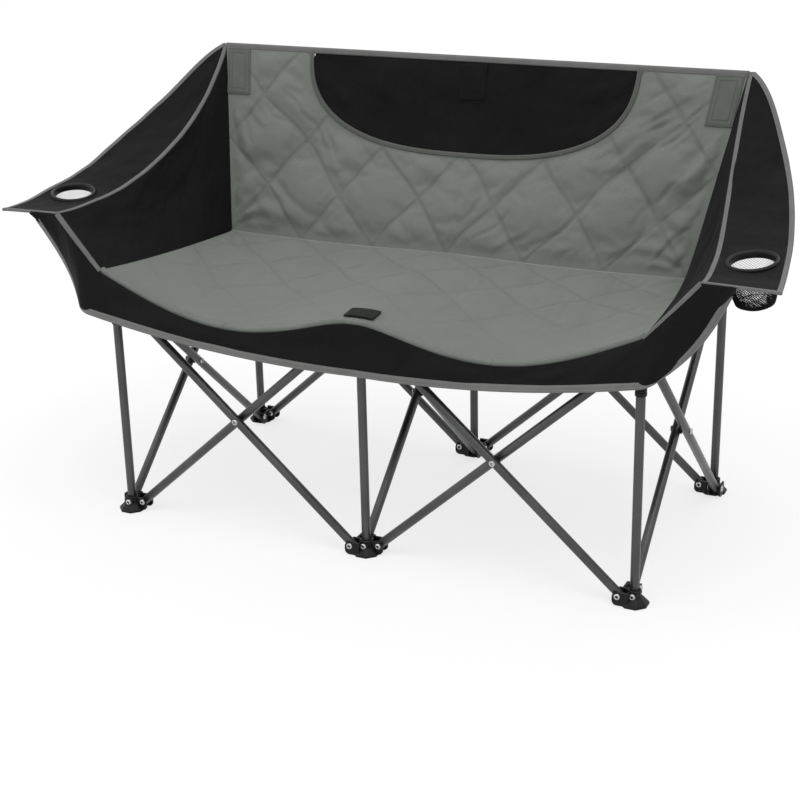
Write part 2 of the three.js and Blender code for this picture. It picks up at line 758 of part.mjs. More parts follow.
function addCupHolder(label, place) {
  const outer = cupRadius;
  const inner = cupRadius - cupRingWidth;
  const half = cupRingHeight / 2;
  const bevel = cupRingWidth / 4;
  const ring = turned([
    [inner, -half],
    [outer - bevel, -half],
    [outer, -half + bevel],
    [outer, half - bevel],
    [outer - bevel, half],
    [inner + bevel, half],
    [inner, half - bevel],
    [inner, -half],
  ], roundSides);
  addMesh(`cup_ring_${label}`, ring, plastic).applyMatrix4(place);
  const rim = -half - clothGap;
  const top = cupRadius - basketInset;
  const bottom = top - basketTaper;
  const basket = turned([
    [0, rim - basketDepth],
    [bottom, rim - basketDepth],
    [top, rim],
    [top - basketWall, rim],
    [bottom - basketWall, rim - basketDepth + basketWall],
    [0, rim - basketDepth + basketWall],
  ], roundSides);
  addMesh(`cup_basket_${label}`, basket, netCloth).applyMatrix4(place);
}

for (const name of postNames) {
  addFoot(name);
  addPost(name);
  addHub(name);
}
for (const tube of scissorTubes) {
  addScissorTube(tube);
  if (tube.name.endsWith('_a')) {
    addCrossingRivet(tube);
  }
}
addCloth();

// The origin is on the floor under the middle of the whole chair
const extent = new THREE.Box3().setFromObject(loveseat, true);
loveseat.position.y = -(extent.min.y + extent.max.y) / 2;

export default loveseat;
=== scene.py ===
import json
import math

import bmesh
import bpy
import numpy as np
from mathutils import Matrix, Vector


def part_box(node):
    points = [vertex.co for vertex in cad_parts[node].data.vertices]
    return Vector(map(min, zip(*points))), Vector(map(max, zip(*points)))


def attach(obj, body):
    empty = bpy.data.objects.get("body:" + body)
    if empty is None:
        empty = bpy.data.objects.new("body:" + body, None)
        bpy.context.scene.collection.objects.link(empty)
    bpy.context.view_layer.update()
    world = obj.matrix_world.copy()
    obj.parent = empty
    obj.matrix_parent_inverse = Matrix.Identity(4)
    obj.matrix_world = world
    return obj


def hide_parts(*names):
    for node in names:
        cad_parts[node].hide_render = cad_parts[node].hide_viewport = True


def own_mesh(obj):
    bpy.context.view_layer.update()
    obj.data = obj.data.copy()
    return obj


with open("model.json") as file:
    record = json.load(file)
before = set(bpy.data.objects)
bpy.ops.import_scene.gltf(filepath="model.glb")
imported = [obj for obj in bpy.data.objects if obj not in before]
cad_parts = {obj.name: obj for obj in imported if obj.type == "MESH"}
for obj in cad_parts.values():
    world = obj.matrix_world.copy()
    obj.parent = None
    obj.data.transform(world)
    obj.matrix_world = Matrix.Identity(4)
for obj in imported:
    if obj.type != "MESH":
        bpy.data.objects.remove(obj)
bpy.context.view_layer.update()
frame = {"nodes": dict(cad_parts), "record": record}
print("frame loaded:", len(frame["nodes"]), "nodes")

# Where the frame's posts, pivots and tube ends are
hands = {"left": -1, "right": 1}
postAt = {}
for mount in frame["record"]["mounts"]:
    postAt[mount["name"].removeprefix("foot_").removesuffix("_base")] = Vector(mount["pos_m"])
jointAt = {}
for joint in frame["record"]["behaviour"]["joints"]:
    if joint["type"] == "hinge":
        jointAt[joint["name"]] = Vector(joint["pos_m"])
spacing = postAt["rear_right"].x
frontRow = postAt["front_right"].y
rearRow = postAt["rear_right"].y
footPivotHeight = jointAt["front_centre_foot_pivot"].z
hubHeight = jointAt["front_centre_hub_pivot"].z
postLow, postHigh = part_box("post_rear_right")
postTop = postHigh.z
tubeRadius = (postHigh.x - postLow.x) / 2


def lerp(a, b, t):
    return a + (b - a) * t


def placed(*parts):
    return np.stack(np.broadcast_arrays(*parts), axis=-1).astype(float)


def unit(vectors):
    return vectors / np.maximum(np.linalg.norm(vectors, axis=-1, keepdims=True), 1e-12)


# Smooth uneven waves over a cloth, from seeded cosines: none repeats, and each run is the same
def ripples(across, along, longest, shortest, seed, count=14, lean=0.0, spread=math.pi):
    source = np.random.default_rng(seed)
    total = np.zeros_like(across)
    for turn in range(count):
        length = longest * (shortest / longest) ** (turn / (count - 1))
        heading = source.uniform(-spread / 2, spread / 2) + lean
        phase = source.uniform(0, 2 * math.pi)
        wave = (across * math.cos(heading) + along * math.sin(heading)) / length
        total += (length / longest) * np.cos(2 * math.pi * wave + phase)
    return total / math.sqrt(count)


# Shader sockets with arithmetic
class Wire:
    def __init__(self, tree, socket=None):
        self.tree = tree
        self.socket = socket

    def node(self, kind, settings=(), inputs=(), output=0):
        made = self.tree.nodes.new("ShaderNode" + kind)
        for name, value in dict(settings).items():
            setattr(made, name, value)
        for name, value in dict(inputs).items():
            if isinstance(value, Wire):
                self.tree.links.new(value.socket, made.inputs[name])
            else:
                made.inputs[name].default_value = value
        return Wire(self.tree, made.outputs[output])

    def math(self, operation, second=0.0):
        return self.node("Math", {"operation": operation}, {0: self, 1: second})

    def __add__(self, other):
        return self.math("ADD", other)

    def __sub__(self, other):
        return self.math("SUBTRACT", other)

    def __mul__(self, other):
        return self.math("MULTIPLY", other)

    def __truediv__(self, other):
        return self.math("DIVIDE", other)

    def sine(self):
        return self.math("SINE")

    def size(self):
        return self.math("ABSOLUTE")

    def lesser(self, other):
        return self.math("MINIMUM", other)

    def greater(self, other):
        return self.math("MAXIMUM", other)

    def distanceToWhole(self):
        return self.math("PINGPONG", 0.5)

    def below(self, limit):
        return self.math("LESS_THAN", limit)

    def ramp(self, low, high, atLow=0.0, atHigh=1.0):
        values = {"Value": self, "From Min": low, "From Max": high, "To Min": atLow, "To Max": atHigh}
        return self.node("MapRange", {"interpolation_type": "SMOOTHSTEP"}, values)

    def axis(self, name):
        return self.node("SeparateXYZ", inputs={"Vector": self}, output=name)

    def noise(self, scale, detail=3.0, roughness=0.5):
        values = {"Vector": self, "Scale": scale, "Detail": detail, "Roughness": roughness}
        return self.node("TexNoise", inputs=values)

    def colours(self, first, second):
        return self.node("Mix", {"data_type": "RGBA"}, {0: self, 6: first, 7: second}, 2)

    def mottled(self, colour, dark, light):
        return self.ramp(0.3, 0.7).colours(shade(colour, dark), shade(colour, light))

    def bump(self, distance, strength):
        return self.node("Bump", inputs={"Height": self, "Distance": distance, "Strength": strength})


def startMaterial(name):
    material = bpy.data.materials.new(name)
    material.use_nodes = True
    start = Wire(material.node_tree)
    return material, start, material.node_tree.nodes["Principled BSDF"]


def feed(shader, **sockets):
    for name, value in sockets.items():
        socket = shader.inputs[name.replace("_", " ")]
        if isinstance(value, Wire):
            value.tree.links.new(value.socket, socket)
        else:
            socket.default_value = value


def shade(colour, factor):
    return tuple(part * factor for part in colour) + (1.0,)


# A plain weave in the cloth's own flat coordinates, in metres
def weaveHeight(flat, thread):
    turn = math.pi / thread
    over = (flat.axis("X") * turn).sine()
    under = (flat.axis("Y") * turn).sine()
    return over * under


def flatPlace(start):
    return start.node("UVMap", {"uv_map": "flat"})


def attribute(start, name, output="Fac"):
    return start.node("Attribute", {"attribute_name": name}, output=output)


def quiltCloth():
    look = {
        "colour": (0.163, 0.178, 0.160),
        "thread": 0.0011,
        "cell": 0.13,
        "stitch": 0.0042,
        "stitched": 0.34,
        "line": 0.007,
        "valley": 0.055,
    }
    material, start, shader = startMaterial("quiltCloth")
    flat = flatPlace(start)
    blotch = flat.noise(9.0, 4.0)
    slub = flat.noise(420.0, 2.0)
    first = attribute(start, "quiltFirst")
    second = attribute(start, "quiltSecond")
    strength = attribute(start, "quiltStrength")
    firstAway = first.distanceToWhole()
    secondAway = second.distanceToWhole()
    nearest = firstAway.lesser(secondAway)
    valley = nearest.ramp(0.0, look["valley"], 1.0, 0.0) * strength
    dash = look["cell"] / look["stitch"]
    stitchFirst = firstAway.below(look["line"]) * (second * dash).distanceToWhole().below(look["stitched"])
    stitchSecond = secondAway.below(look["line"]) * (first * dash).distanceToWhole().below(look["stitched"])
    stitches = stitchFirst.greater(stitchSecond) * strength
    base = blotch.mottled(look["colour"], 0.93, 1.07)
    worn = slub.ramp(0.35, 0.65).colours(base, shade(look["colour"], 1.1))
    # Painted shade: the quilt's colour is darkened in the valleys along its sewn lines
    paintedSeamShade = (valley * 0.28).colours(worn, shade(look["colour"], 0.55))
    final = (stitches * 0.2).colours(paintedSeamShade, shade(look["colour"], 1.25))
    height = weaveHeight(flat, look["thread"]) * 0.00012 + slub * 0.0002 - valley * 0.0012 + stitches * 0.0003
    feed(
        shader,
        Base_Color=final,
        Roughness=blotch.ramp(0.3, 0.7, 0.82, 0.93),
        Normal=height.bump(1.0, 0.8),
        Sheen_Weight=0.12,
        Sheen_Roughness=0.5,
        Specular_IOR_Level=0.25,
    )
    return material


def wovenCloth(name, colour, thread, sheen):
    material, start, shader = startMaterial(name)
    flat = flatPlace(start)
    blotch = flat.noise(7.0, 4.0)
    slub = flat.noise(360.0, 2.0)
    base = blotch.mottled(colour, 0.8, 1.2)
    final = slub.ramp(0.4, 0.75).colours(base, shade(colour, 1.7))
    crumple = flat.noise(14.0, 2.0, 0.45)
    height = weaveHeight(flat, thread) * 0.00014 + slub * 0.0002 + crumple * 0.016
    feed(
        shader,
        Base_Color=final,
        Roughness=blotch.ramp(0.3, 0.7, 0.7, 0.86),
        Normal=height.bump(1.0, 0.8),
        Sheen_Weight=sheen,
        Sheen_Roughness=0.45,
        Specular_IOR_Level=0.13,
    )
    return material


# A patch sewn down with two rows of stitches: it knows each point's distance in from its border
def patchCloth(name, colour, stitchShade, sheen):
    look = {
        "thread": 0.0011,
        "rows": (0.0030, 0.0100),
        "rowWidth": 0.0006,
        "stitch": 0.0038,
        "stitched": 0.33,
    }
    material, start, shader = startMaterial(name)
    flat = flatPlace(start)
    slub = flat.noise(420.0, 2.0)
    blotch = flat.noise(30.0, 3.0)
    border = attribute(start, "border")
    along = attribute(start, "along")
    dashes = (along / look["stitch"]).distanceToWhole().below(look["stitched"])
    first = border - look["rows"][0]
    second = border - look["rows"][1]
    nearer = first.size().lesser(second.size())
    stitches = nearer.below(look["rowWidth"]) * dashes
    groove = nearer.ramp(0.0, look["rowWidth"] * 3, 1.0, 0.0)
    base = blotch.mottled(colour, 0.92, 1.08)
    # Painted shade: the patch's colour is darkened in the grooves along its stitch rows
    paintedSeamShade = (groove * 0.5).colours(base, shade(colour, 0.5))
    final = (stitches * 0.5).colours(paintedSeamShade, shade(colour, stitchShade))
    height = weaveHeight(flat, look["thread"]) * 0.00012 + slub * 0.0002 - groove * 0.0007 + stitches * 0.0006
    feed(
        shader,
        Base_Color=final,
        Roughness=blotch.ramp(0.3, 0.7, 0.8, 0.9),
        Normal=height.bump(1.0, 0.8),
        Sheen_Weight=sheen,
        Specular_IOR_Level=0.15,
    )
    return material


# Ribbed tape with a row of stitches near each edge, along the tape's own length and width
def tapeCloth(name, colour):
    look = {"rib": 0.0016, "stitch": 0.0045, "stitched": 0.34, "row": 0.55, "rowWidth": 0.09}
    material, start, shader = startMaterial(name)
    along = attribute(start, "along")
    across = attribute(start, "across")
    place = start.node("TexCoord", output="Object")
    blotch = place.noise(30.0, 3.0)
    slub = place.noise(700.0, 2.0)
    rib = (along * (2 * math.pi / look["rib"])).sine()
    fromRow = across.size() - look["row"]
    onRow = fromRow.size().below(look["rowWidth"])
    stitches = onRow * (along / look["stitch"]).distanceToWhole().below(look["stitched"])
    base = blotch.mottled(colour, 0.86, 1.1)
    ribbed = (rib * 0.25 + 0.25).colours(base, shade(colour, 0.7))
    final = (stitches * 0.7).colours(ribbed, shade(colour, 1.5))
    height = rib * 0.00015 + slub * 0.0002 + stitches * 0.0005 - onRow * 0.0003
    feed(
        shader,
        Base_Color=final,
        Roughness=blotch.ramp(0.3, 0.7, 0.72, 0.86),
        Normal=height.bump(1.0, 0.7),
        Sheen_Weight=0.15,
        Specular_IOR_Level=0.3,
    )
    return material


def paintedTube():
    colour = (0.074, 0.076, 0.075)
    material, start, shader = startMaterial("paintedTube")
    place = start.node("TexCoord", output="Object")
    orange = place.noise(900.0, 2.0)
    cloud = place.noise(14.0, 4.0)
    scuff = place.noise(60.0, 6.0, 0.7)
    base = cloud.mottled(colour, 0.85, 1.15)
    final = scuff.ramp(0.66, 0.74).colours(base, shade(colour, 1.6))
    feed(
        shader,
        Base_Color=final,
        Metallic=0.75,
        Roughness=cloud.ramp(0.25, 0.75, 0.3, 0.42),
        Normal=orange.bump(0.00012, 0.5),
        Specular_IOR_Level=0.5,
    )
    return material


def mouldedPlastic():
    colour = (0.006, 0.006, 0.0065)
    material, start, shader = startMaterial("mouldedPlastic")
    place = start.node("TexCoord", output="Object")
    grain = place.noise(1400.0, 2.0)
    cloud = place.noise(25.0, 4.0)
    final = cloud.mottled(colour, 0.8, 1.5)
    feed(
        shader,
        Base_Color=final,
        Roughness=cloud.ramp(0.3, 0.7, 0.36, 0.5),
        Normal=grain.bump(0.0002, 0.4),
        Specular_IOR_Level=0.2,
    )
    return material


def brightSteel():
    colour = (0.46, 0.46, 0.45)
    material, start, shader = startMaterial("brightSteel")
    place = start.node("TexCoord", output="Object")
    cloud = place.noise(220.0, 4.0)
    final = cloud.mottled(colour, 0.75, 1.15)
    feed(
        shader,
        Base_Color=final,
        Metallic=1.0,
        Roughness=cloud.ramp(0.3, 0.7, 0.22, 0.4),
        Normal=cloud.bump(0.0002, 0.3),
    )
    return material


# Each look and the slot that it fills
looks = {
    "quilt": (quiltCloth(), "grey_quilt"),
    "black": (wovenCloth("blackCloth", (0.0038, 0.0038, 0.0041), 0.0010, 0.015), "black_cloth"),
    "backing": (wovenCloth("backingCloth", (0.0055, 0.0055, 0.0058), 0.0014, 0.02), "black_cloth"),
    "tape": (tapeCloth("greyTape", (0.146, 0.149, 0.144)), "black_cloth"),
    "piping": (tapeCloth("greyPiping", (0.163, 0.178, 0.160)), "grey_quilt"),
    "rim": (tapeCloth("panelRim", (0.094, 0.099, 0.089)), "grey_quilt"),
    "seam": (tapeCloth("paleSeam", (0.260, 0.275, 0.252)), "grey_quilt"),
    "greyPatch": (patchCloth("greyPatch", (0.116, 0.129, 0.115), 1.15, 0.12), "grey_quilt"),
    "tabPatch": (patchCloth("tabCloth", (0.015, 0.0185, 0.0135), 1.5, 0.03), "black_cloth"),
    "blackPatch": (patchCloth("blackPatch", (0.0040, 0.0040, 0.0043), 2.2, 0.02), "black_cloth"),
    "tube": (paintedTube(), "painted_tube"),
    "plastic": (mouldedPlastic(), "black_plastic"),
    "steel": (brightSteel(), "rivet_steel"),
    "net": (wovenCloth("netCord", (0.007, 0.007, 0.0075), 0.0009, 0.03), "black_net"),
}
print("materials made:", len(looks))


# Meshes
def pointsOf(mesh):
    points = np.zeros(len(mesh.vertices) * 3)
    mesh.vertices.foreach_get("co", points)
    return points.reshape(-1, 3)


def movePoints(mesh, points):
    mesh.vertices.foreach_set("co", np.ascontiguousarray(points, dtype=float).ravel())
    mesh.update()


def addPiece(name, bm, *lookNames):
    mesh = bpy.data.meshes.new(name)
    for face in bm.faces:
        face.smooth = True
    bm.to_mesh(mesh)
    bm.free()
    piece = bpy.data.objects.new(name, mesh)
    bpy.context.scene.collection.objects.link(piece)
    for look in lookNames:
        mesh.materials.append(looks[look][0])
    return piece


# Each item once, in the order in which it comes
def listedOnce(items):
    return list(dict.fromkeys(items))


def carry(piece, body, node):
    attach(piece, body)
    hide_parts(node)


def thicken(piece, thick):
    solid = piece.modifiers.new("thickness", "SOLIDIFY")
    solid.thickness = thick
    solid.offset = 0


# A grid of cells over a cloth: each point keeps its place (u, v) in the flat cloth
def gridMesh(columns, rows):
    bm = bmesh.new()
    bmesh.ops.create_grid(bm, x_segments=columns, y_segments=rows, size=0.5)
    bm.verts.ensure_lookup_table()
    u = np.array([vert.co.x + 0.5 for vert in bm.verts])
    v = np.array([vert.co.y + 0.5 for vert in bm.verts])
    return bm, u, v


def layFlat(bm, u, v, width, length):
    layer = bm.loops.layers.uv.new("flat")
    for face in bm.faces:
        for loop in face.loops:
            index = loop.vert.index
            loop[layer].uv = (u[index] * width, v[index] * length)


def setVerts(bm, points):
    for vert, point in zip(bm.verts, points):
        vert.co = point


def normalsOf(shape, u, v, step=2e-3):
    alongU = shape(u + step, v) - shape(u - step, v)
    alongV = shape(u, v + step) - shape(u, v - step)
    return unit(np.cross(alongU, alongV))


def lengthOf(points):
    return float(np.linalg.norm(np.diff(points, axis=0), axis=1).sum())


def flatSize(shape):
    steps = np.linspace(0, 1, 60)
    middle = np.full_like(steps, 0.5)
    return lengthOf(shape(steps, middle)), lengthOf(shape(middle, steps))


# A flat tape folded over a cloth's edge: it follows edge(s) and reaches in towards inner(s)
def addTape(name, edge, inner, width, thick, look="tape", stations=90, sides=14, lift=0.0, inset=0.42):
    bm = bmesh.new()
    alongLayer = bm.verts.layers.float.new("along")
    acrossLayer = bm.verts.layers.float.new("across")
    s = np.linspace(0, 1, stations + 1)
    path = edge(s)
    forward = unit(np.gradient(path, axis=0))
    inward = inner(s) - path
    inward = unit(inward - forward * np.sum(inward * forward, axis=1, keepdims=True))
    normal = np.cross(forward, inward)
    travel = np.concatenate([[0], np.cumsum(np.linalg.norm(np.diff(path, axis=0), axis=1))])
    made = bmesh.ops.create_circle(bm, segments=sides, radius=1.0, cap_ends=False)
    ring = list(made["verts"])
    squared = 0.55
    flat = [[math.copysign(abs(part) ** squared, part) for part in vert.co[:2]] for vert in ring]
    edges = listedOnce(link for vert in ring for link in vert.link_edges)
    for index in range(stations + 1):
        if index:
            grown = bmesh.ops.extrude_edge_only(bm, edges=edges)["geom"]
            fresh = [item for item in grown if isinstance(item, bmesh.types.BMVert)]
            byOld = {}
            for vert in fresh:
                for link in vert.link_edges:
                    other = link.other_vert(vert)
                    if other in ring:
                        byOld[other] = vert
            ring = [byOld[vert] for vert in ring]
            inRing = set(ring)
            edges = [item for item in grown if isinstance(item, bmesh.types.BMEdge)]
            edges = [item for item in edges if item.verts[0] in inRing and item.verts[1] in inRing]
        centre = path[index] + inward[index] * width * inset + normal[index] * lift
        for vert, (wide, high) in zip(ring, flat):
            vert.co = centre + inward[index] * wide * width / 2 + normal[index] * high * thick / 2
            vert[alongLayer] = travel[index]
            vert[acrossLayer] = wide
    bmesh.ops.holes_fill(bm, edges=[item for item in bm.edges if item.is_boundary], sides=sides)
    bmesh.ops.recalc_face_normals(bm, faces=bm.faces)
    return addPiece(name, bm, look)


# The shapes that the cloth hangs in, from the posts and hubs that carry it
seat = {
    "overhang": 0.010,
    "reach": 0.025,
    "cornerOverHubs": 0.058,
    "centreOverHubs": 0.019,
    "frontSag": 0.070,
    "middleSag": 0.012,
    "ridge": 0.1,
    "edge": 0.006,
    "puff": 0.0028,
    "ruck": 0.0020,
    "drag": 0.0012,
    "pinch": 0.0012,
    "dragLean": 1.35,
    "crumple": 0.0002,
    "border": 0.035,
    "margin": 0.006,
    "fine": 0.0006,
    "pressure": 1.2,
    "slack": 0.012,
    "cap": 0.006,
    "columns": 12,
    "rows": 6,
    "cells": 18,
    "wander": 0.007,
    "gather": 0.0035,
    "creaseAt": 1,
    "plain": (0.10, 0.55, 0.12, 0.75),
}
back = {
    "rise": 0.012,
    "overhang": 0.028,
    "bow": 0.022,
    "postGap": 0.0008,
    "edge": 0.006,
    "puff": 0.0066,
    "ruck": 0.0032,
    "drag": 0.0054,
    "pinch": 0.0055,
    "dragLean": -0.75,
    "crumple": 0.0003,
    "border": 0.030,
    "margin": 0.011,
    "fine": 0.0003,
    "pressure": 2.8,
    "slack": 0.02,
    "cap": 0.009,
    "columns": 12,
    "rows": 4,
    "cells": 18,
    "wander": 0.006,
    "gather": 0.0045,
    "creaseAt": 0,
    "plain": (-1.0, 0.0, 1.0, 1.0),
}
crease = {"inset": 0.034, "forward": 0.131, "overHubs": 0.036, "sag": 0.004}
creaseY = rearRow - crease["forward"]
creaseHeight = hubHeight + crease["overHubs"]
creaseHalf = spacing - crease["inset"]
seatHalf = spacing + seat["overhang"]
seatFront = frontRow - seat["reach"]
backHalf = spacing + back["overhang"]
backTop = postTop + back["rise"]
backFall = back["rise"] / (backTop - creaseHeight)
backAtPost = rearRow - tubeRadius - back["postGap"] - back["edge"] / 2
backTopY = (backAtPost - creaseY * backFall) / (1 - backFall)


# Two lobes across the seat: none at the sides, little at the middle where a post lifts the cloth
def lobes(side):
    share = np.abs(side)
    widest = math.hypot(1, seat["ridge"])
    high = np.sin(math.pi * np.hypot(share, seat["ridge"]) / widest)
    return high - math.sin(math.pi * seat["ridge"] / widest) * (1 - share)


def seatAt(u, v):
    side = 2 * u - 1
    rear = creaseHeight - crease["sag"] * lobes(side)
    line = hubHeight + lerp(seat["centreOverHubs"], seat["cornerOverHubs"], np.abs(side))
    front = line - seat["frontSag"] * lobes(side)
    sag = seat["middleSag"] * np.sin(math.pi * v) * lobes(side)
    height = lerp(rear, front, v * v) - sag - seat["edge"] / 2
    return placed(side * lerp(creaseHalf, seatHalf, v), lerp(creaseY, seatFront, v), height)


seatCorner = seatAt(np.array(1.0), np.array(1.0))


def backAt(u, v):
    side = 2 * u - 1
    bow = back["bow"] * np.sin(math.pi * v) ** 2 * (1 - side * side)
    foot = creaseHeight - crease["sag"] * lobes(side) * (1 - v)
    across = side * lerp(creaseHalf, backHalf, v)
    return placed(across, lerp(creaseY, backTopY, v) + bow, lerp(foot, backTop, v))


arm = {
    "overHubs": 0.153,
    "reach": 0.022,
    "overhang": 0.095,
    "width": 0.123,
    "tipRise": -0.003,
    "apex": 0.010,
    "thick": 0.004,
    "shoulder": (0.007, 0, 0.003),
    "shoulderAt": 0.07,
    "waver": 0.0026,
    "waverLength": 0.6,
    "waverWaves": (0.2, 0.06),
    "sag": 0.003,
    "sagSpan": (0.5, 0.12),
    "sagWaves": (0.25, 0.05),
    "sagReach": 1.4,
    "innerHandles": ((-0.004, -0.130, -0.175), (-0.015, 0.200, -0.022)),
    "outerHandles": ((0.146, -0.155, -0.162), (-0.024, 0.174, -0.003)),
}
armHeight = hubHeight + arm["overHubs"]
backCorner = np.array((backHalf, backTopY + back["edge"] / 2, backTop))
armInner = np.array((spacing + arm["overhang"], frontRow - arm["reach"], armHeight))
armTip = armInner + np.array((arm["width"], 0, arm["tipRise"]))
armApex = backCorner + np.array((arm["apex"], 0, 0))


def bezier(first, last, handles, t):
    t = np.asarray(t, dtype=float)[..., None]
    second = first + np.array(handles[0])
    third = last + np.array(handles[1])
    rest = 1 - t
    return rest**3 * first + 3 * rest**2 * t * second + 3 * rest * t**2 * third + t**3 * last


# The arms' edges waver a little between their ends
def waviness(t, seed):
    wave = ripples(t * arm["waverLength"], 0, *arm["waverWaves"], seed)
    return placed(0, 0, arm["waver"] * wave * np.sin(math.pi * np.clip(t, 0, 1)))


def innerEdge(t):
    t = np.asarray(t, dtype=float)
    return bezier(backCorner, armInner, arm["innerHandles"], t) + waviness(t, 61)


def outerEdge(t):
    t = np.asarray(t, dtype=float)
    swell = t * np.exp(1 - t / arm["shoulderAt"]) / arm["shoulderAt"]
    line = bezier(armApex, armTip, arm["outerHandles"], t) + waviness(t, 62)
    return line + swell[..., None] * np.array(arm["shoulder"])


def mirrored(points, hand):
    return points * np.array((hand, 1, 1))


wall = {"thick": 0.003, "belly": 0.014, "fold": 0.008, "span": (0.4, 0.2), "waves": (0.30, 0.05), "lean": 0.9}


def wallAt(u, v):
    belly = wall["belly"] * np.sin(math.pi * v) * np.sin(math.pi * u)
    foot = seatAt(np.ones_like(u), u)
    across = np.asarray(v)[..., None]
    return lerp(foot, innerEdge(u), across) + placed(belly, 0, 0)


def armAt(u, v):
    return lerp(innerEdge(u), outerEdge(u), np.asarray(v)[..., None])


skirt = {
    "seatShare": 0.62,
    "wallShare": 0.84,
    "cornerShare": 0.72,
    "cornerRound": 0.020,
    "cornerSteps": 13,
    "thick": 0.0025,
    "clear": 0.0024,
    "hemUnderHubs": 0.075,
    "cornerUnderHubs": 0.012,
    "cornerOverhang": 0.030,
    "cornerBulge": 0.040,
    "centreBulge": 0.006,
    "endOverArm": 0.055,
    "endHeight": 0.003,
    "endBack": 0.036,
    "endDroop": 0.022,
    "endBelly": 0.004,
    "fold": 0.012,
    "boundShare": 0.14,
}
skirtClear = np.array((0, -skirt["clear"], 0))
hemCorner = np.array((spacing + skirt["cornerOverhang"], seatFront - skirt["cornerBulge"], 0))
hemCorner[2] = hubHeight - skirt["cornerUnderHubs"]
hemCentre = np.array((0, seatFront - skirt["centreBulge"], hubHeight - skirt["hemUnderHubs"]))
hemEnd = armInner + skirtClear + np.array((skirt["endOverArm"], 0, -skirt["endHeight"]))


def skirtTop(share):
    onSeat = np.clip(share / skirt["seatShare"], 0, 1)
    onWall = np.clip((share - skirt["seatShare"]) / (skirt["wallShare"] - skirt["seatShare"]), 0, 1)
    onArm = np.clip((share - skirt["wallShare"]) / (1 - skirt["wallShare"]), 0, 1)
    along = seatAt(0.5 + onSeat / 2, np.ones_like(onSeat))
    along = along + (armInner - seatCorner) * onWall[..., None]
    return along + placed(skirt["endOverArm"] * onArm, 0, 0) + skirtClear


# The hem's corner is rounded over a short stretch to either side of it
def hemAt(share):
    total = 0
    reach = skirt["cornerRound"]
    offsets = np.linspace(-reach, reach, skirt["cornerSteps"])
    inside = np.clip(np.minimum(share, 1 - share) / reach, 0, 1)
    for offset in offsets:
        moved = np.clip(share + offset * inside, 0, 1)
        first = np.clip(moved / skirt["cornerShare"], 0, 1)
        second = np.clip((moved - skirt["cornerShare"]) / (1 - skirt["cornerShare"]), 0, 1)
        line = hemCentre + (hemCorner - hemCentre) * first[..., None]
        line[..., 2] = lerp(hemCentre[2], hemCorner[2], first * first)
        bend = np.sin(math.pi * second)
        curl = placed(skirt["endBelly"] * bend, skirt["endBack"] * bend, -skirt["endDroop"] * bend)
        total = total + line + (hemEnd - hemCorner) * second[..., None] + curl
    return total / len(offsets)


def skirtAt(u, v):
    side = 2 * u - 1
    share = np.minimum(np.abs(side), 1)
    shape = lerp(hemAt(share), skirtTop(share), np.asarray(v)[..., None])
    return shape * placed(np.where(side < 0, -1, 1), 1, 1)


sewing = {
    "quality": 5,
    "mass": 0.2,
    "tension_stiffness": 18,
    "compression_stiffness": 18,
    "shear_stiffness": 8,
    "bending_stiffness": 0.08,
}


# Pads: the face is blown out between its sewn lines by a cloth simulation
def settle(piece, pinned, pressure, slack, frames=16):
    group = piece.vertex_groups.new(name="sewn")
    group.add([int(index) for index in np.flatnonzero(pinned)], 1.0, "REPLACE")
    cloth = piece.modifiers.new("settle", "CLOTH")
    settings = cloth.settings
    for name, value in sewing.items():
        setattr(settings, name, value)
    settings.shrink_min = -slack
    settings.vertex_group_mass = group.name
    settings.use_pressure = True
    settings.uniform_pressure_force = pressure
    settings.effector_weights.gravity = 0
    cloth.point_cache.frame_start = 1
    cloth.point_cache.frame_end = frames
    scene = bpy.context.scene
    for step in range(1, frames + 1):
        scene.frame_set(step)
    shaped = piece.evaluated_get(bpy.context.evaluated_depsgraph_get()).data
    points = pointsOf(shaped)
    piece.modifiers.remove(cloth)
    piece.vertex_groups.remove(group)
    scene.frame_set(1)
    return points


# Sewn lines run both ways on the diagonal and mirror about the middle
def quiltLines(form):
    columns = form["columns"] * form["cells"]
    rows = form["rows"] * form["cells"]
    bm, u, v = gridMesh(columns, rows)
    column = np.rint(np.abs(u - 0.5) * columns)
    row = np.rint(v * rows)
    period = 2 * form["cells"]
    first = column - row
    second = column + row
    rim = (u < 1e-6) | (u > 1 - 1e-6) | (row == 0) | (row == rows)
    sewn = (first % period == 0) | (second % period == 0)
    return bm, u, v, sewn, rim, first / period, second / period


fan = {"reach": 0.13, "start": 0.03, "twist": 0.6, "waves": ((11, 1.0), (17, 0.6))}


# Folds that fan out from the two ends of the crease
def gathers(u, v, width, length, creaseAt, seed):
    source = np.random.default_rng(seed)
    total = np.zeros_like(u)
    for end in (0, 1):
        across = np.abs(u - end) * width
        along = np.abs(v - creaseAt) * length
        far = np.hypot(across, along)
        turn = np.arctan2(along, across) + fan["twist"] * far / fan["reach"]
        waves = sum(share * np.cos(count * turn + source.uniform(0, 6)) for count, share in fan["waves"])
        total += waves * np.exp(-((far / fan["reach"]) ** 2)) * np.clip(far / fan["start"], 0, 1)
    return total


# The longest and shortest waves of each kind; dragged ones also have a stray and a spread of headings
paddingWaves = {
    "wander": (0.35, 0.12),
    "uneven": (0.30, 0.05),
    "crumple": (0.05, 0.018),
    "patchy": (0.4, 0.15),
    "creased": (0.35, 0.12),
}
draggedWaves = {
    "drag": (0.11, 0.035, 0.02, 0.5),
    "pinch": (0.16, 0.05, 0.03, 0.35),
    "fine": (0.045, 0.018, 0.01, 0.4),
}
padding = {
    "fill": 0.45,
    "swellPower": 0.7,
    "creaseWidth": 0.16,
    "creaseShare": 1.6,
    "fineShare": 1.8,
    "leastRise": 0.0006,
    "underShare": 0.35,
}


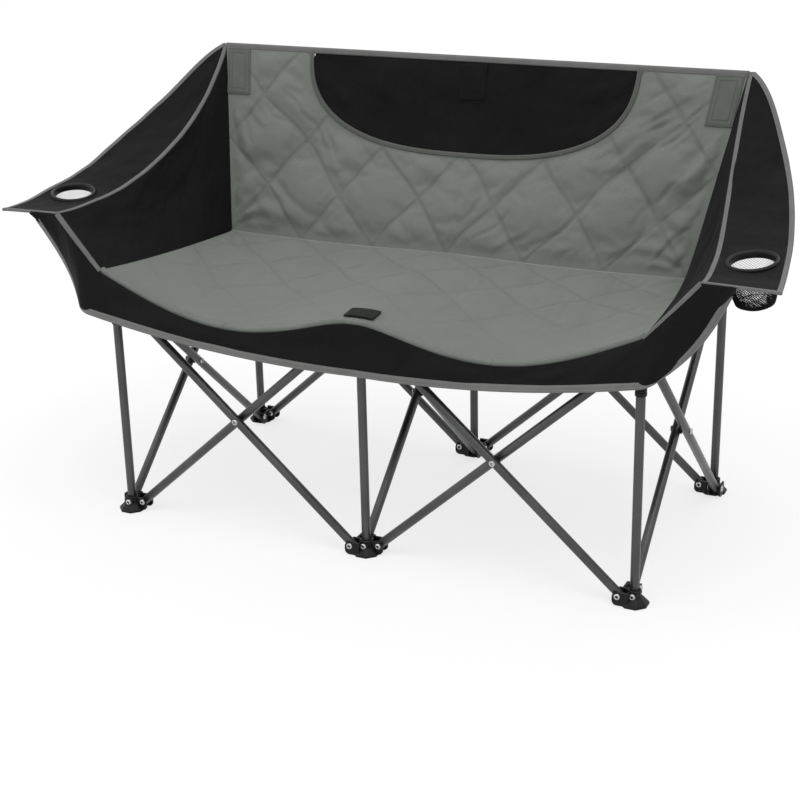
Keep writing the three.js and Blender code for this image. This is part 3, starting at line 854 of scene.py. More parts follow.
def puffed(shape, form, seed, awayFromCut=None):
    bm, u, v, sewn, rim, first, second = quiltLines(form)
    width, length = flatSize(shape)
    across = np.abs(u - 0.5) * width
    along = v * length
    away = np.minimum(np.minimum(u, 1 - u) * width, np.minimum(v, 1 - v) * length)
    if awayFromCut:
        away = np.minimum(away, np.maximum(awayFromCut(u, v), 0))
    rim = rim | (away < form["margin"])
    fade = np.sin(math.pi / 2 * np.clip((away - form["margin"]) / form["border"], 0, 1))

    def waves(name, offset, place):
        return ripples(place, along, *paddingWaves[name], seed + offset)

    def dragged(name, offset):
        longest, shortest, stray, spread = draggedWaves[name]
        place = across + stray * uneven
        return ripples(place, along, longest, shortest, seed + offset, lean=form["dragLean"], spread=spread)

    flatPlaceU = u * width
    u = u + fade * form["wander"] / width * waves("wander", 7, flatPlaceU)
    v = v + fade * form["wander"] / length * waves("wander", 8, flatPlaceU)
    normal = normalsOf(shape, u, v)
    plainEnd, fullEnd, least, most = form["plain"]
    strength = lerp(least, most, np.clip((v - plainEnd) / (fullEnd - plainEnd), 0, 1))
    swell = strength * np.abs(np.sin(math.pi * first) * np.sin(math.pi * second)) ** padding["swellPower"]
    uneven = waves("uneven", 0, u * width)
    crumple = waves("crumple", 1, u * width)
    drag = dragged("drag", 2)
    patchy = np.clip(0.5 + waves("patchy", 3, u * width), 0, 1)
    pinch = dragged("pinch", 4)
    creased = np.clip(waves("creased", 5, u * width) * padding["creaseShare"], 0, 1)
    creased = np.exp(-((pinch / padding["creaseWidth"]) ** 2)) * creased
    fine = dragged("fine", 6)
    ruck = form["ruck"] * uneven + form["drag"] * drag * patchy - form["pinch"] * creased
    ruck = ruck + form["fine"] * fine * (padding["fineShare"] - strength)
    ruck = ruck + form["gather"] * gathers(u, v, width, length, form["creaseAt"], seed + 9)
    rise = np.maximum(form["edge"] / 2 + fade * (form["puff"] * swell + ruck), padding["leastRise"])
    face = shape(u, v) + normal * rise[:, None]
    top = face + normal * (form["crumple"] * crumple * fade * ~(sewn | rim))[:, None]
    setVerts(bm, top)
    sheet = addPiece("paddingSheet", bm, "quilt")
    moved = settle(sheet, sewn | rim, form["pressure"], form["slack"]) - face
    far = np.linalg.norm(moved, axis=1, keepdims=True)
    top = face + moved * np.minimum(1, form["cap"] / np.maximum(far, 1e-9)) * strength[:, None]
    movePoints(sheet.data, top)
    facing = np.zeros(len(u) * 3)
    sheet.data.vertex_normals.foreach_get("vector", facing)
    bpy.data.objects.remove(sheet)
    deep = form["edge"] / 2 + padding["underShare"] * form["puff"] * swell * fade
    under = shape(u, v) - normal * deep[:, None]
    return {
        "top": top,
        "under": under,
        "normal": facing.reshape(-1, 3),
        "first": first,
        "second": second,
        "strength": strength,
        "size": (width, length),
    }


# A closed pad from the cells of a puffed face for which kept(u, v) holds at their middles
def addPad(name, puff, columns, rows, kept):
    bm, u, v = gridMesh(columns, rows)
    width, length = puff["size"]
    layFlat(bm, u, v, width, length)
    firstLayer = bm.verts.layers.float.new("quiltFirst")
    secondLayer = bm.verts.layers.float.new("quiltSecond")
    strengthLayer = bm.verts.layers.float.new("quiltStrength")
    normalLayer = bm.verts.layers.float_vector.new("sheetNormal")
    for index, vert in enumerate(bm.verts):
        vert[firstLayer] = puff["first"][index]
        vert[secondLayer] = puff["second"][index]
        vert[strengthLayer] = puff["strength"][index]
        vert[normalLayer] = puff["normal"][index]
    home = {vert: index for index, vert in enumerate(bm.verts)}
    lost = []
    for face in bm.faces:
        middle = face.calc_center_median()
        if not kept(middle.x + 0.5, middle.y + 0.5):
            lost.append(face)
    setVerts(bm, puff["top"])
    bmesh.ops.delete(bm, geom=lost, context="FACES")
    outline = [edge for edge in bm.edges if edge.is_boundary]
    copied = bmesh.ops.duplicate(bm, geom=bm.verts[:] + bm.edges[:] + bm.faces[:])
    twin = {vert: copied["vert_map"][vert] for vert in home if vert.is_valid}
    below = [item for item in copied["geom"] if isinstance(item, bmesh.types.BMFace)]
    for vert, other in twin.items():
        other.co = puff["under"][home[vert]]
        other[normalLayer] = -vert[normalLayer]
    bmesh.ops.reverse_faces(bm, faces=below)
    for face in below:
        face.material_index = 1
    for edge in outline:
        loop = edge.link_loops[0]
        here = loop.vert
        there = loop.link_loop_next.vert
        bm.faces.new((there, here, twin[here], twin[there])).material_index = 1
    bm.normal_update()
    pad = addPiece(name, bm, "quilt", "backing")
    normals = [entry.vector for entry in pad.data.attributes["sheetNormal"].data]
    pad.data.normals_split_custom_set_from_vertices(normals)
    return pad


# The black panel let into the top of the back
panel = {
    "halfWidth": 0.328,
    "drop": 0.174,
    "power": 2.6,
    "thick": 0.003,
    "fold": 0.006,
    "foldWaves": (0.35, 0.06),
    "seam": 0.002,
    "share": 0.997,
    "underTop": 0.004,
    "proud": 0.001,
}


def panelDrop(x):
    share = np.clip(np.abs(x) / panel["halfWidth"], 0, 1)
    return panel["drop"] * (1 - share ** panel["power"]) ** (1 / panel["power"])


def awayFromPanel(u, v):
    point = backAt(u, v)
    share = np.abs(point[..., 0]) / panel["halfWidth"]
    fall = np.maximum(backTop - point[..., 2], 0) / panel["drop"]
    return panel["drop"] * ((share ** panel["power"] + fall ** panel["power"]) ** (1 / panel["power"]) - 1)


# Pockets for the post tops, sewn on at the back's top corners
pocket = {
    "width": 0.050,
    "length": 0.086,
    "thick": 0.0022,
    "proud": 0.0044,
    "fromEdge": 0.036,
    "drop": 0.048,
    "lean": 0.12,
}


def awayFromSewn(u, v):
    point = backAt(u, v)
    drop = backTop - point[..., 2] - pocket["drop"]
    middle = backHalf - pocket["fromEdge"] - pocket["lean"] * drop
    beside = np.abs(np.abs(point[..., 0]) - middle) - pocket["width"] / 2
    beyond = np.abs(drop) - pocket["length"] / 2
    return np.minimum(awayFromPanel(u, v), np.maximum(beside, beyond))


print("seat and back: padding")
seatPuff = puffed(lambda u, v: seatAt(u, 1 - v), seat, 3)
backPuff = puffed(backAt, back, 11, awayFromSewn)

# Each piece is given a mesh of its own
for label, hand in hands.items():
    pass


def gather(piece):
    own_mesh(piece)


seatColumns = seat["columns"] * seat["cells"]
seatRows = seat["rows"] * seat["cells"]
seatPanels = ["seat_outer_left", "seat_inner_left", "seat_inner_right", "seat_outer_right"]
for index, node in enumerate(seatPanels):
    low = index / len(seatPanels)
    high = (index + 1) / len(seatPanels)
    pad = addPad("pad_" + node, seatPuff, seatColumns, seatRows, lambda u, v: low < u < high)
    carry(pad, node, node)
    gather(pad)

backColumns = back["columns"] * back["cells"]
backRows = back["rows"] * back["cells"]
backPad = addPad(
    "pad_back", backPuff, backColumns, backRows, lambda u, v: awayFromPanel(u, v) > panel["seam"]
)
carry(backPad, "back_cloth", "back_pad")
gather(backPad)


def backAtX(x, z):
    v = np.clip((z - creaseHeight) / (backTop - creaseHeight), 0, 1)
    half = lerp(creaseHalf, backHalf, v)
    return backAt((x / half + 1) / 2, v)


def panelAt(u, v):
    x = (2 * u - 1) * panel["halfWidth"] * panel["share"]
    drop = panelDrop(x)
    fold = panel["fold"] * ripples(x, v * panel["drop"], *panel["foldWaves"], 21, lean=0.5)
    margin = panel["underTop"]
    point = backAtX(x, backTop - margin - (1 - v) * (drop - margin))
    return point + placed(0, fold * np.sin(math.pi * v) - panel["proud"], 0)


def addCloth(name, node, body, shape, columns, rows, thick, look, kept=None):
    bm, u, v = gridMesh(columns, rows)
    width, length = flatSize(shape)
    layFlat(bm, u, v, width, length)
    setVerts(bm, shape(u, v))
    if kept:
        lost = [face for face in bm.faces if not kept(face.calc_center_median())]
        bmesh.ops.delete(bm, geom=lost, context="FACES")
    area = sum(face.calc_area() for face in bm.faces)
    bm.normal_update()
    piece = addPiece(name, bm, look)
    thicken(piece, thick)
    carry(piece, body, node)
    across = max(width, area / length)
    min(area, across * length)
    return piece


panelPiece = addCloth(
    "cloth_back_panel", "back_black_panel", "back_cloth", panelAt, 150, 44, panel["thick"], "black",
)
gather(panelPiece)

print("pads made")

# Walls, arms and skirt
cup = {"along": 0.785, "across": 0.52, "outer": 0.043, "ring": 0.008, "height": 0.013, "overlap": 0.005}
cupPoint = armAt(np.array(cup["along"]), np.array(cup["across"]))
cupNormal = normalsOf(armAt, np.array(cup["along"]), np.array(cup["across"]))
for label, hand in hands.items():
    side = "rear_" + label + "_post"

    def wallShape(u, v, hand=hand):
        turned = u if hand > 0 else 1 - u
        wide, high = wall["span"]
        folds = wall["fold"] * ripples(turned * wide, v * high, *wall["waves"], 31 + hand, lean=wall["lean"])
        shift = folds * np.sin(math.pi * v) * np.sin(math.pi * turned)
        return mirrored(wallAt(turned, v) + placed(shift, 0, 0), hand)

    def armShape(u, v, hand=hand):
        turned = u if hand > 0 else 1 - u
        wide, high = arm["sagSpan"]
        sag = arm["sag"] * ripples(turned * wide, v * high, *arm["sagWaves"], 41 + hand)
        shift = sag * np.sin(math.pi * v) * np.sin(math.pi * np.clip(turned * arm["sagReach"], 0, 1))
        return mirrored(armAt(turned, v) + placed(0, 0, shift), hand)

    hole = Vector(mirrored(cupPoint, hand))
    wallPiece = addCloth(
        "cloth_wall_" + label, "side_wall_" + label, side, wallShape, 90, 44, wall["thick"], "black",
    )
    gather(wallPiece)
    armPiece = addCloth(
        "cloth_arm_" + label, "arm_panel_" + label, side, armShape, 150, 36, arm["thick"], "black",
        kept=lambda middle, hole=hole: (middle - hole).length > cup["outer"] - cup["overlap"],
    )
    gather(armPiece)


def skirtShape(u, v):
    point = skirtAt(u, v)
    folds = ripples(point[..., 0], point[..., 2], 0.45, 0.07, 51, lean=0.35, spread=1.6)
    free = np.clip((v - skirt["boundShare"]) / (1 - skirt["boundShare"]), 0, 1)
    shift = skirt["fold"] * folds * np.sin(math.pi * free) ** 2
    return point + placed(0, shift, 0)


skirtPiece = addCloth(
    "cloth_skirt", "front_skirt", "front_centre_hub", skirtShape, 260, 40, skirt["thick"], "black",
)
gather(skirtPiece)
print("walls, arms and skirt made")

# Bound edges
binding = {"width": 0.0092, "thick": 0.0048, "wallThick": 0.0072, "wallForward": 0.0045}
topBinding = {"width": 0.012, "thick": 0.009, "inset": 0.25}
rimBinding = {"width": 0.009, "thick": 0.004, "lift": -0.0034, "stations": 140, "look": "rim"}
wallTape = np.array((0, -binding["wallForward"], 0))


def straight(first, last):
    return lambda s: lerp(first, last, np.asarray(s)[..., None])


def panelRim(s, grow=0.0):
    angle = math.pi * (1 - s)
    power = 2 / panel["power"]
    x = (panel["halfWidth"] + grow) * np.sign(np.cos(angle)) * np.abs(np.cos(angle)) ** power
    drop = (panel["drop"] + grow) * np.abs(np.sin(angle)) ** power
    return backAtX(x, backTop - np.maximum(drop, panel["underTop"]))


def ones(s, value=1.0):
    return np.full_like(s, value)


topTape = addTape(
    "tape_back_top", lambda s: backAt(s, ones(s)), lambda s: backAt(s, ones(s, 0.9)), **topBinding
)
rimTape = addTape("tape_back_panel", panelRim, lambda s: panelRim(s, 0.02), **rimBinding)
for tape in (topTape, rimTape):
    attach(tape, "back_cloth")
    gather(tape)

for label, hand in hands.items():
    side = "rear_" + label + "_post"
    edges = {
        "arm_inner": (innerEdge, lambda s: armAt(s, ones(s, 0.3))),
        "arm_outer": (outerEdge, lambda s: armAt(s, ones(s, 0.7))),
        "arm_front": (straight(armInner, armTip), lambda s: armAt(ones(s, 0.96), s)),
        "wall_front": (
            straight(seatCorner + wallTape, armInner + wallTape),
            lambda s: wallAt(ones(s, 0.95), s),
        ),
    }
    for name, (edge, inner) in edges.items():
        tape = addTape(
            "tape_" + name + "_" + label,
            lambda s, edge=edge, hand=hand: mirrored(edge(s), hand),
            lambda s, inner=inner, hand=hand: mirrored(inner(s), hand),
            binding["width"],
            binding["wallThick" if name == "wall_front" else "thick"],
        )
        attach(tape, side)
        gather(tape)

hem = {"width": 0.013, "thick": 0.0045, "reach": 0.985, "towardsMiddle": 0.9, "towardsSeat": 0.4}


def hemEdge(s):
    return skirtAt(0.5 + (s - 0.5) * hem["reach"], 0 * s)


def insideHem(s):
    return skirtAt(0.5 + (s - 0.5) * hem["towardsMiddle"], ones(s, hem["towardsSeat"]))


hemTape = addTape("tape_hem", hemEdge, insideHem, hem["width"], hem["thick"], stations=320)
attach(hemTape, "front_centre_hub")
gather(hemTape)
print("bound edges made")


# Piping along the seat's front edge and a seam along its crease, in the four panels: where each line
# lies on the seat, what it faces, its width, thickness and look
pipings = {"front": (1.0, 0.94, 0.012, 0.015, "piping"), "crease": (0.004, 0.05, 0.004, 0.009, "seam")}
for index, node in enumerate(seatPanels):
    low = index / len(seatPanels)
    span = 1 / len(seatPanels)
    for name, (line, inside, width, thick, look) in pipings.items():
        piping = addTape(
            "piping_" + name + "_" + node,
            lambda s, low=low, line=line: seatAt(low + s * span, ones(s, line)),
            lambda s, low=low, inside=inside: seatAt(low + s * span, ones(s, inside)),
            width,
            thick,
            look,
            stations=60,
        )
        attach(piping, node)
        gather(piping)


# Patches sewn flat on a cloth: shape(x, y) places a point of the patch in metres from its middle
def addPatch(name, shape, form, look, body):
    width = form["width"]
    length = form["length"]
    cells = 34
    bm, u, v = gridMesh(cells, cells)
    layFlat(bm, u, v, width, length)
    borderLayer = bm.verts.layers.float.new("border")
    alongLayer = bm.verts.layers.float.new("along")
    fromSides = np.minimum(u, 1 - u) * width
    fromEnds = np.minimum(v, 1 - v) * length
    along = np.where(fromSides < fromEnds, v * length, u * width)
    for index, vert in enumerate(bm.verts):
        vert[borderLayer] = min(fromSides[index], fromEnds[index])
        vert[alongLayer] = along[index]
    setVerts(bm, shape((u - 0.5) * width, (v - 0.5) * length))
    area = sum(face.calc_area() for face in bm.faces)
    bm.normal_update()
    patch = addPiece(name, bm, look)
    thicken(patch, form["thick"])
    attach(patch, body)
    area / width
    return patch


for label, hand in hands.items():

    def onBack(x, y, hand=hand):
        middle = hand * (backHalf - pocket["fromEdge"] + pocket["lean"] * y)
        point = backAtX(middle + x, backTop - pocket["drop"] + y)
        return point + placed(0, -pocket["proud"], 0)

    patch = addPatch("patch_back_" + label, onBack, pocket, "greyPatch", "back_cloth")
    gather(patch)

centrePocket = {
    "width": 0.052,
    "length": 0.066,
    "thick": 0.002,
    "drop": 0.042,
    "proud": 0.0045,
    "aside": 0.012,
}


def onPanel(x, y):
    point = backAtX(x + centrePocket["aside"], backTop - centrePocket["drop"] + y)
    return point + placed(0, -centrePocket["proud"], 0)


patch = addPatch("patch_back_centre", onPanel, centrePocket, "blackPatch", "back_cloth")
gather(patch)

tab = {"width": 0.056, "length": 0.034, "thick": 0.0028, "proud": 0.0062, "middle": 0.905}


def onSeat(x, y):
    away = y / (creaseY - seatFront)
    point = seatAt(0.5 + x / (2 * seatHalf), tab["middle"] - away)
    return point + placed(0, 0, tab["proud"])


patch = addPatch("patch_seat_tab", onSeat, tab, "tabPatch", "seat_inner_left")
gather(patch)
print("piping and patches made")


# Turned and round pieces
def turnedInto(bm, profile, place, steps=32, material=0):
    before = set(bm.verts)
    verts = [bm.verts.new((radius, 0, height)) for radius, height in profile]
    links = [bm.edges.new(pair) for pair in zip(verts, verts[1:])]
    bmesh.ops.spin(
        bm, geom=verts + links, cent=(0, 0, 0), axis=(0, 0, 1), angle=2 * math.pi, steps=steps, use_merge=True
    )
    fresh = [vert for vert in bm.verts if vert not in before]
    bmesh.ops.remove_doubles(bm, verts=fresh, dist=1e-6)
    fresh = [vert for vert in bm.verts if vert not in before]
    faces = listedOnce(face for vert in fresh for face in vert.link_faces)
    bmesh.ops.recalc_face_normals(bm, faces=faces)
    for face in faces:
        face.material_index = material
    bmesh.ops.transform(bm, matrix=place, verts=fresh)


# A frame whose Z points along a direction
def facing(origin, direction):
    turn = Vector((0, 0, 1)).rotation_difference(Vector(direction))
    return Matrix.Translation(Vector(origin)) @ turn.to_matrix().to_4x4()


def sharpen(piece, degrees=35):
    piece.data.set_sharp_from_angle(angle=math.radians(degrees))
    return piece


# The ends of a straight tube's axis, lower end first, and its radius
def tubeAxis(node):
    points = pointsOf(frame["nodes"][node].data)
    centre = (points.min(axis=0) + points.max(axis=0)) / 2
    spread = np.linalg.svd(points - points.mean(axis=0), full_matrices=False)[2][0]
    direction = spread * (1 if spread[2] > 0 else -1)
    reach = (points - centre) @ direction
    radius = np.linalg.norm((points - centre) - np.outer(reach, direction), axis=1).max()
    return Vector(centre + direction * reach.min()), Vector(centre + direction * reach.max()), radius


tube = {"wall": 0.001, "rounding": 0.0006, "sides": 32}


def addTube(name, node, body):
    low, high, radius = tubeAxis(node)
    length = (high - low).length
    inner = radius - tube["wall"]
    soft = tube["rounding"]
    profile = [
        (inner, soft),
        (inner + soft / 2, 0),
        (radius - soft / 2, 0),
        (radius, soft),
        (radius, length - soft),
        (radius - soft / 2, length),
        (inner + soft / 2, length),
        (inner, length - soft),
        (inner, soft),
    ]
    bm = bmesh.new()
    turnedInto(bm, profile, facing(low, high - low), tube["sides"])
    carry(sharpen(addPiece(name, bm, "tube"), 50), body, node)


pairs = ["rear_left", "rear_right", "centre", "front_left", "front_right", "side_left", "side_right"]
scissors = [pair + ending for pair in pairs for ending in ("_tube_a", "_tube_b")]
for node in scissors:
    addTube("round_" + node, node, node)
for post in postAt:
    if post.startswith("rear"):
        addTube("round_post_" + post, "post_" + post, post + "_post")
    else:
        addTube("round_leg_" + post, "leg_" + post, post + "_leg")
        addTube("round_slide_" + post, "slide_" + post, post + "_hub")
print("tubes made:", len(scissors) + 9)

# Rivets: a rolled hollow head, and a dark washer between two tubes
rivet = {"head": 0.0058, "rise": 0.0022, "bore": 0.0024, "sunk": 0.0004, "inside": 0.0018}
washer = {"radius": 0.0078, "half": 0.0009, "edge": 0.0005, "flat": 0.9}
washerDisc = [
    (0, -washer["half"]),
    (washer["radius"] * washer["flat"], -washer["half"]),
    (washer["radius"], -washer["edge"]),
    (washer["radius"], washer["edge"]),
    (washer["radius"] * washer["flat"], washer["half"]),
    (0, washer["half"]),
]


def rivetHead(bm, place):
    head = rivet["head"]
    rise = rivet["rise"]
    profile = [
        (0, -rivet["sunk"]),
        (rivet["bore"] * 0.9, -rivet["sunk"] / 2),
        (rivet["bore"], rise * 0.7),
        (rivet["bore"] * 1.25, rise),
        (head * 0.7, rise * 0.92),
        (head * 0.93, rise * 0.5),
        (head, 0),
        (head * 0.9, -rivet["sunk"]),
    ]
    turnedInto(bm, profile, place, 24, 1)


for pair in pairs:
    node = pair + "_crossing_rivet"
    lowest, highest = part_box(node)
    middle = (lowest + highest) / 2
    span = highest - lowest
    across = Vector((1, 0, 0)) if span.x > span.y else Vector((0, 1, 0))
    bm = bmesh.new()
    turnedInto(bm, washerDisc, facing(middle, across), 28, 0)
    outside = max(span) / 2 - rivet["inside"]
    for way in (1, -1):
        rivetHead(bm, facing(middle + across * way * outside, across * way))
    piece = sharpen(addPiece("round_" + node, bm, "plastic", "steel"), 40)
    carry(piece, pair + "_tube_a", node)
print("rivets made")

# Feet and hubs: a turned middle with a fork and a rivet for each scissor tube
foot = {"radius": 0.026, "rim": 0.004, "shoulder": 0.016, "height": 0.028, "sides": 8}
hub = {"frontSkirt": 0.018, "rearSkirt": 0.045, "cap": 0.004}
fork = {
    "root": 0.005,
    "nose": 0.033,
    "plate": 0.004,
    "slack": 0.0004,
    "round": 0.0085,
    "lip": 0.008,
    "drop": 0.017,
    "reach": 0.05,
}
lug = {"width": 0.018, "thick": 0.006, "lower": 0.003, "proud": 0.0016}
fitGap = 0.0003
bossRadius = tubeRadius + 0.004
axes = {node: tubeAxis(node) for node in scissors}


def atHeight(node, height):
    low, high, radius = axes[node]
    return low + (high - low) * ((height - low.z) / (high.z - low.z))


def bevel(bm, edges, offset, segments, clamp):
    bmesh.ops.bevel(
        bm,
        geom=edges,
        offset=offset,
        offset_type="OFFSET",
        affect="EDGES",
        segments=segments,
        profile=0.5,
        material=-1,
        clamp_overlap=clamp,
    )


def addBlock(bm, size, place, bevels, offset=0.0012, segments=2):
    made = bmesh.ops.create_cube(bm, size=1.0, matrix=place @ Matrix.Diagonal((*size, 1.0)))
    corners = made["verts"]
    edges = listedOnce(edge for vert in corners for edge in vert.link_edges)
    bevel(bm, [edge for edge in edges if bevels(edge)], offset, segments, False)


def addForks(bm, post, pivotHeight, bottom, top):
    centre = postAt[post]
    for node in scissors:
        pivot = atHeight(node, pivotHeight)
        if (Vector((pivot.x, pivot.y, 0)) - centre).length > fork["reach"]:
            continue
        low, high, radius = axes[node]
        heading = Vector((pivot.x - centre.x, pivot.y - centre.y, 0))
        run = Vector((high.x - low.x, high.y - low.y, 0)).normalized()
        heading = run if heading.dot(run) > 0 else -run
        across = Vector((-heading.y, heading.x, 0))
        aside = (Vector((pivot.x, pivot.y, 0)) - centre).dot(across)
        turn = Matrix((heading, across, Vector((0, 0, 1)))).transposed().to_4x4()
        for way in (1, -1):
            plate = aside + way * (tubeRadius + fork["slack"] + fork["plate"] / 2)
            size = (fork["nose"] - fork["root"], fork["plate"], top - bottom)
            local = Vector(((fork["nose"] + fork["root"]) / 2, plate, (top + bottom) / 2))
            place = Matrix.Translation(centre) @ turn @ Matrix.Translation(local)
            tip = centre + heading * fork["nose"]

            def atNose(edge, tip=tip, heading=heading):
                along = [abs((vert.co - tip).dot(heading)) < 1e-6 for vert in edge.verts]
                level = abs(edge.verts[0].co.z - edge.verts[1].co.z) < 1e-6
                return all(along) and level

            addBlock(bm, size, place, atNose, fork["round"], 6)
        for way in (1, -1):
            face = aside + way * (tubeRadius + fork["slack"] + fork["plate"])
            spot = centre + heading * (pivot - centre).dot(heading) + across * face
            spot.z = pivot.z
            rivetHead(bm, facing(spot, across * way))


def eased(bm, offset, degrees=28):
    limit = math.radians(degrees)
    folds = [edge for edge in bm.edges if len(edge.link_faces) == 2]
    bevel(bm, [edge for edge in folds if edge.calc_face_angle() > limit], offset, 2, True)


for post, centre in postAt.items():
    bm = bmesh.new()
    slope = [
        (0, 0.0),
        (foot["radius"], 0.0),
        (foot["radius"], foot["rim"]),
        (bossRadius * 1.15, foot["shoulder"]),
        (0, foot["shoulder"]),
    ]
    turnedInto(bm, slope, Matrix.Translation(centre) @ Matrix.Rotation(math.pi / 8, 4, "Z"), foot["sides"])
    eased(bm, 0.0011)
    neck = [
        (bossRadius, foot["rim"]),
        (bossRadius, foot["height"] - 0.0015),
        (bossRadius - 0.0015, foot["height"]),
        (tubeRadius + 0.0010, foot["height"]),
        (tubeRadius + fitGap, foot["height"] - 0.0008),
        (tubeRadius + fitGap, foot["shoulder"]),
        (0, foot["shoulder"]),
    ]
    turnedInto(bm, neck, Matrix.Translation(centre))
    addForks(bm, post, footPivotHeight, 0.002, footPivotHeight + fork["lip"])
    outside = -1 if post.startswith("front") else 1
    size = (lug["width"], lug["thick"], foot["height"] - foot["rim"] - lug["lower"])
    away = outside * (bossRadius - lug["thick"] / 2 + lug["proud"])
    spot = centre + Vector((0, away, foot["rim"] + size[2] / 2))
    addBlock(bm, size, Matrix.Translation(spot), lambda edge: True)
    fastener = centre + Vector((0, outside * (bossRadius + lug["proud"]), footPivotHeight))
    rivetHead(bm, facing(fastener, (0, outside, 0)))
    piece = sharpen(addPiece("moulded_foot_" + post, bm, "plastic", "steel"))
    carry(piece, post + ("_post" if post.startswith("rear") else "_leg"), "foot_" + post)

    bm = bmesh.new()
    bottom = hubHeight - (hub["rearSkirt"] if post.startswith("rear") else hub["frontSkirt"])
    top = hubHeight + hub["cap"]
    if post.startswith("rear"):
        bore = tubeRadius + fitGap
    else:
        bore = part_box("slide_" + post)[1].x - centre.x + fitGap
    sleeve = [
        (bore, bottom + 0.001),
        (bore + 0.0008, bottom),
        (bossRadius - 0.0012, bottom),
        (bossRadius, bottom + 0.0012),
        (bossRadius, top - 0.0015),
        (bossRadius - 0.0015, top),
        (bore + 0.0008, top),
        (bore, top - 0.001),
        (bore, bottom + 0.001),
    ]
    if post.startswith("front"):
        sleeve = sleeve[:6] + [(0, top)]
    turnedInto(bm, sleeve, Matrix.Translation((centre.x, centre.y, 0)))
    addForks(bm, post, hubHeight, hubHeight - fork["drop"], hubHeight + fork["lip"])
    piece = sharpen(addPiece("moulded_hub_" + post, bm, "plastic", "steel"))
    carry(piece, post + "_hub", "hub_" + post)
print("feet and hubs made")

# Collars where the inner tubes leave the front legs
collar = {"ribs": 5, "firstRib": 0.22, "ribStep": 0.11, "ribDepth": 0.0008, "slideGap": 0.0004}
for post in postAt:
    if post.startswith("rear"):
        continue
    lowest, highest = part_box("collar_" + post)
    centre = (lowest + highest) / 2
    outer = (highest.x - lowest.x) / 2
    height = highest.z - lowest.z
    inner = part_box("slide_" + post)[1].x - centre.x + collar["slideGap"]
    deep = outer - collar["ribDepth"]
    profile = [(tubeRadius + fitGap, 0.0008), (tubeRadius + 0.001, 0), (outer - 0.001, 0), (outer, 0.001)]
    for rib in range(collar["ribs"]):
        start = height * (collar["firstRib"] + collar["ribStep"] * rib)
        profile += [(outer, start), (deep, start + 0.0005), (deep, start + 0.0018), (outer, start + 0.0023)]
    profile += [(outer, height - 0.0015), (outer - 0.0015, height), (inner, height), (inner, height - 0.006)]
    bm = bmesh.new()
    turnedInto(bm, profile, Matrix.Translation((centre.x, centre.y, lowest.z)))
    piece = sharpen(addPiece("moulded_collar_" + post, bm, "plastic"))
    carry(piece, post + "_leg", "collar_" + post)

# Cup holders: a rounded ring let into the arm and a knotted net under it
net = {
    "around": 48,
    "down": 14,
    "floor": 12,
    "cord": 0.0019,
    "thinShare": 0.38,
    "thinEnd": 0.34,
    "thickStart": 0.75,
    "rim": 0.038,
    "base": 0.031,
    "sag": 0.14,
    "depth": 0.070,
    "wobble": 0.03,
}
for label, hand in hands.items():
    middle = Vector(mirrored(cupPoint, hand))
    upward = Vector(mirrored(cupNormal, hand))
    place = facing(middle, upward)
    half = cup["height"] / 2
    outer = cup["outer"]
    inner = outer - cup["ring"]
    section = [
        (inner, -half + 0.001),
        (inner + 0.001, -half),
        (outer - 0.003, -half),
        (outer - 0.0015, -half + 0.002),
        (outer - 0.0015, 0.001),
        (outer - 0.0004, 0.0016),
        (outer, 0.003),
        (outer - 0.001, half - 0.001),
        (outer - 0.0035, half),
        (inner + 0.003, half - 0.0004),
        (inner + 0.0008, half - 0.002),
        (inner, half - 0.0045),
        (inner, -half + 0.001),
    ]
    bm = bmesh.new()
    turnedInto(bm, section, place, 72)
    ring = sharpen(addPiece("moulded_cup_ring_" + label, bm, "plastic"), 50)
    carry(ring, "cup_" + label, "cup_ring_" + label)

    bm, u, v = gridMesh(net["around"], net["down"])
    angle = u * 2 * math.pi
    wobble = net["wobble"] * np.cos(3 * angle + hand) * np.sin(math.pi * v)
    radius = lerp(net["rim"], net["base"], v**3) * (1 + wobble)
    sides = placed(radius * np.cos(angle), radius * np.sin(angle), -net["depth"] * (1 - net["sag"]) * v)
    made = bmesh.ops.create_grid(bm, x_segments=net["floor"], y_segments=net["floor"], size=1.0)
    flat = np.array([vert.co[:2] for vert in made["verts"]])
    bm.verts.index_update()
    across = np.concatenate([u, flat[:, 0]])
    down = np.concatenate([v, flat[:, 1]])
    layFlat(bm, across, down, 2 * math.pi * net["rim"], net["depth"])
    disc = flat * np.sqrt(1 - flat[:, ::-1] ** 2 / 2)
    sunk = net["sag"] * (1 - np.sum(disc**2, axis=1)) + 1 - net["sag"]
    base = placed(disc[:, 0] * net["base"], disc[:, 1] * net["base"], -net["depth"] * sunk)
    setVerts(bm, np.concatenate([sides, base]) - np.array((0, 0, half + 0.0005)))
    bmesh.ops.remove_doubles(bm, verts=bm.verts, dist=1e-5)
    square = list(bm.edges)
    bmesh.ops.poke(bm, faces=bm.faces)
    inside = [edge for edge in square if edge.is_valid and len(edge.link_faces) == 2]
    bmesh.ops.dissolve_edges(bm, edges=inside, use_verts=False)
    bmesh.ops.transform(bm, matrix=place, verts=bm.verts)
    basket = addPiece("net_cup_basket_" + label, bm, "net")
    cords = basket.modifiers.new("cords", "WIREFRAME")
    lower = basket.vertex_groups.new(name="lower")
    for vert in basket.data.vertices:
        share = (middle - vert.co).dot(upward) / net["depth"]
        thick = (share - net["thinEnd"]) / (net["thickStart"] - net["thinEnd"])
        lower.add([vert.index], min(1, max(0, thick)), "REPLACE")
    cords.thickness = net["cord"]
    cords.vertex_group = lower.name
    cords.thickness_vertex_group = net["thinShare"]
    cords.use_even_offset = False
    carry(basket, "cup_" + label, "cup_basket_" + label)
print("cup holders made")

# Floor, light and camera
def seenDirectly(start):
    seen = start.node("LightPath", output="Is Camera Ray")
    for ray in ("Is Glossy Ray", "Is Transmission Ray"):
        seen = seen.greater(start.node("LightPath", output=ray))
    return seen


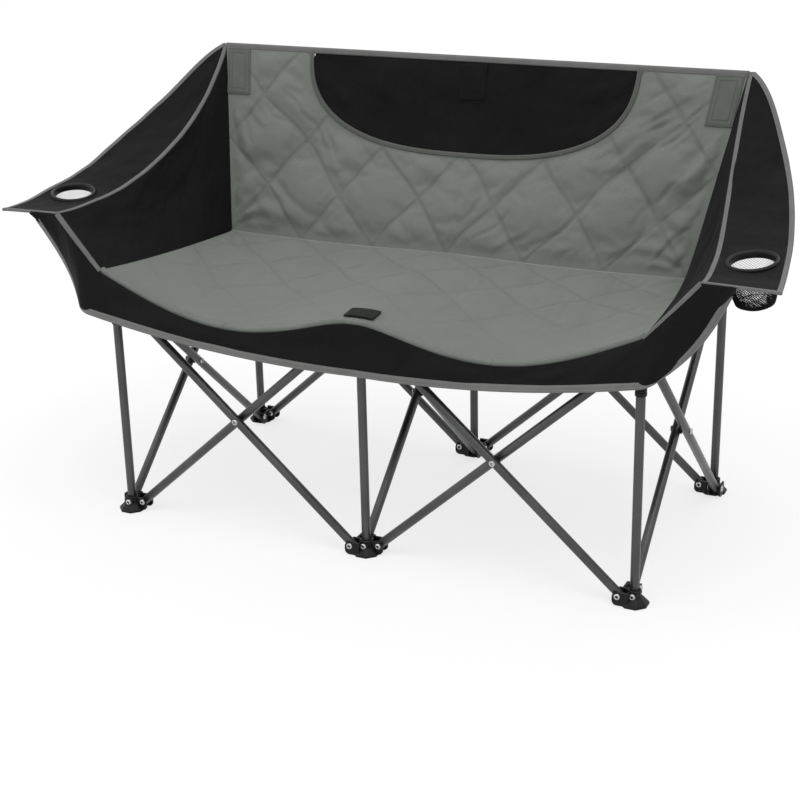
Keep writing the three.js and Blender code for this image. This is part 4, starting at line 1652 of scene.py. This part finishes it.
floorMesh = bmesh.new()
bmesh.ops.create_circle(floorMesh, segments=96, radius=40.0, cap_ends=True)
floorMaterial, floorStart, floorShader = startMaterial("floorPaper")
feed(floorShader, Base_Color=(0.97, 0.97, 0.97, 1.0), Roughness=0.95, Specular_IOR_Level=0.1)
glow = floorStart.node("Emission", inputs={"Color": (1, 1, 1, 1), "Strength": 1.0})
paper = Wire(floorStart.tree, floorShader.outputs["BSDF"])
mixed = floorStart.node("MixShader", inputs={0: seenDirectly(floorStart) * 0.73, 1: paper, 2: glow})
floorOutput = floorStart.tree.nodes["Material Output"]
floorStart.tree.links.new(mixed.socket, floorOutput.inputs["Surface"])
floorData = bpy.data.meshes.new("floor")
floorMesh.to_mesh(floorData)
floorMesh.free()
floorData.materials.append(floorMaterial)
floor = bpy.data.objects.new("floor", floorData)
bpy.context.scene.collection.objects.link(floor)

# Soft even light from all round; the sky that the camera sees is plain white
world = bpy.data.worlds.new("studio")
bpy.context.scene.world = world
world.use_nodes = True
sky = Wire(world.node_tree)
background = world.node_tree.nodes["Background"]
background.inputs["Color"].default_value = (1, 1, 1, 1)
feed(background, Strength=seenDirectly(sky).ramp(0.0, 1.0, 0.52, 1.0))

sunSettings = [
    {"name": "key", "from": (0.32, -0.38, 1.4), "strength": 1.4, "angle": 50},
    {"name": "fill", "from": (-1.2, -0.8, 0.9), "strength": 0.55, "angle": 70},
    {"name": "rear", "from": (0.3, 1.2, 1.2), "strength": 0.35, "angle": 60},
]
for sun in sunSettings:
    data = bpy.data.lights.new(sun["name"], "SUN")
    data.energy = sun["strength"]
    data.angle = math.radians(sun["angle"])
    light = bpy.data.objects.new(sun["name"], data)
    light.rotation_mode = "QUATERNION"
    light.rotation_quaternion = (-Vector(sun["from"])).to_track_quat("-Z", "Y")
    bpy.context.scene.collection.objects.link(light)

shot = {
    "place": (1.224, -2.6305, 1.323),
    "azimuth": math.radians(25.62),
    "elevation": math.radians(20.94),
    "roll": math.radians(-1.31),
    "lens": 74.75,
    "sensor": 36.0,
}
turn = shot["azimuth"]
lift = shot["elevation"]
right = Vector((math.cos(turn), math.sin(turn), 0))
behind = Vector((math.sin(turn) * math.cos(lift), -math.cos(turn) * math.cos(lift), math.sin(lift)))
above = behind.cross(right)
tilt = shot["roll"]
rolledRight = right * math.cos(tilt) + above * math.sin(tilt)
rolledUp = above * math.cos(tilt) - right * math.sin(tilt)
cameraData = bpy.data.cameras.new("camera")
cameraData.lens = shot["lens"]
cameraData.sensor_width = shot["sensor"]
camera = bpy.data.objects.new("camera", cameraData)
basis = Matrix((rolledRight, rolledUp, behind)).transposed().to_4x4()
camera.matrix_world = Matrix.Translation(shot["place"]) @ basis
bpy.context.scene.collection.objects.link(camera)
bpy.context.scene.camera = camera
bpy.context.scene.view_settings.view_transform = "Standard"
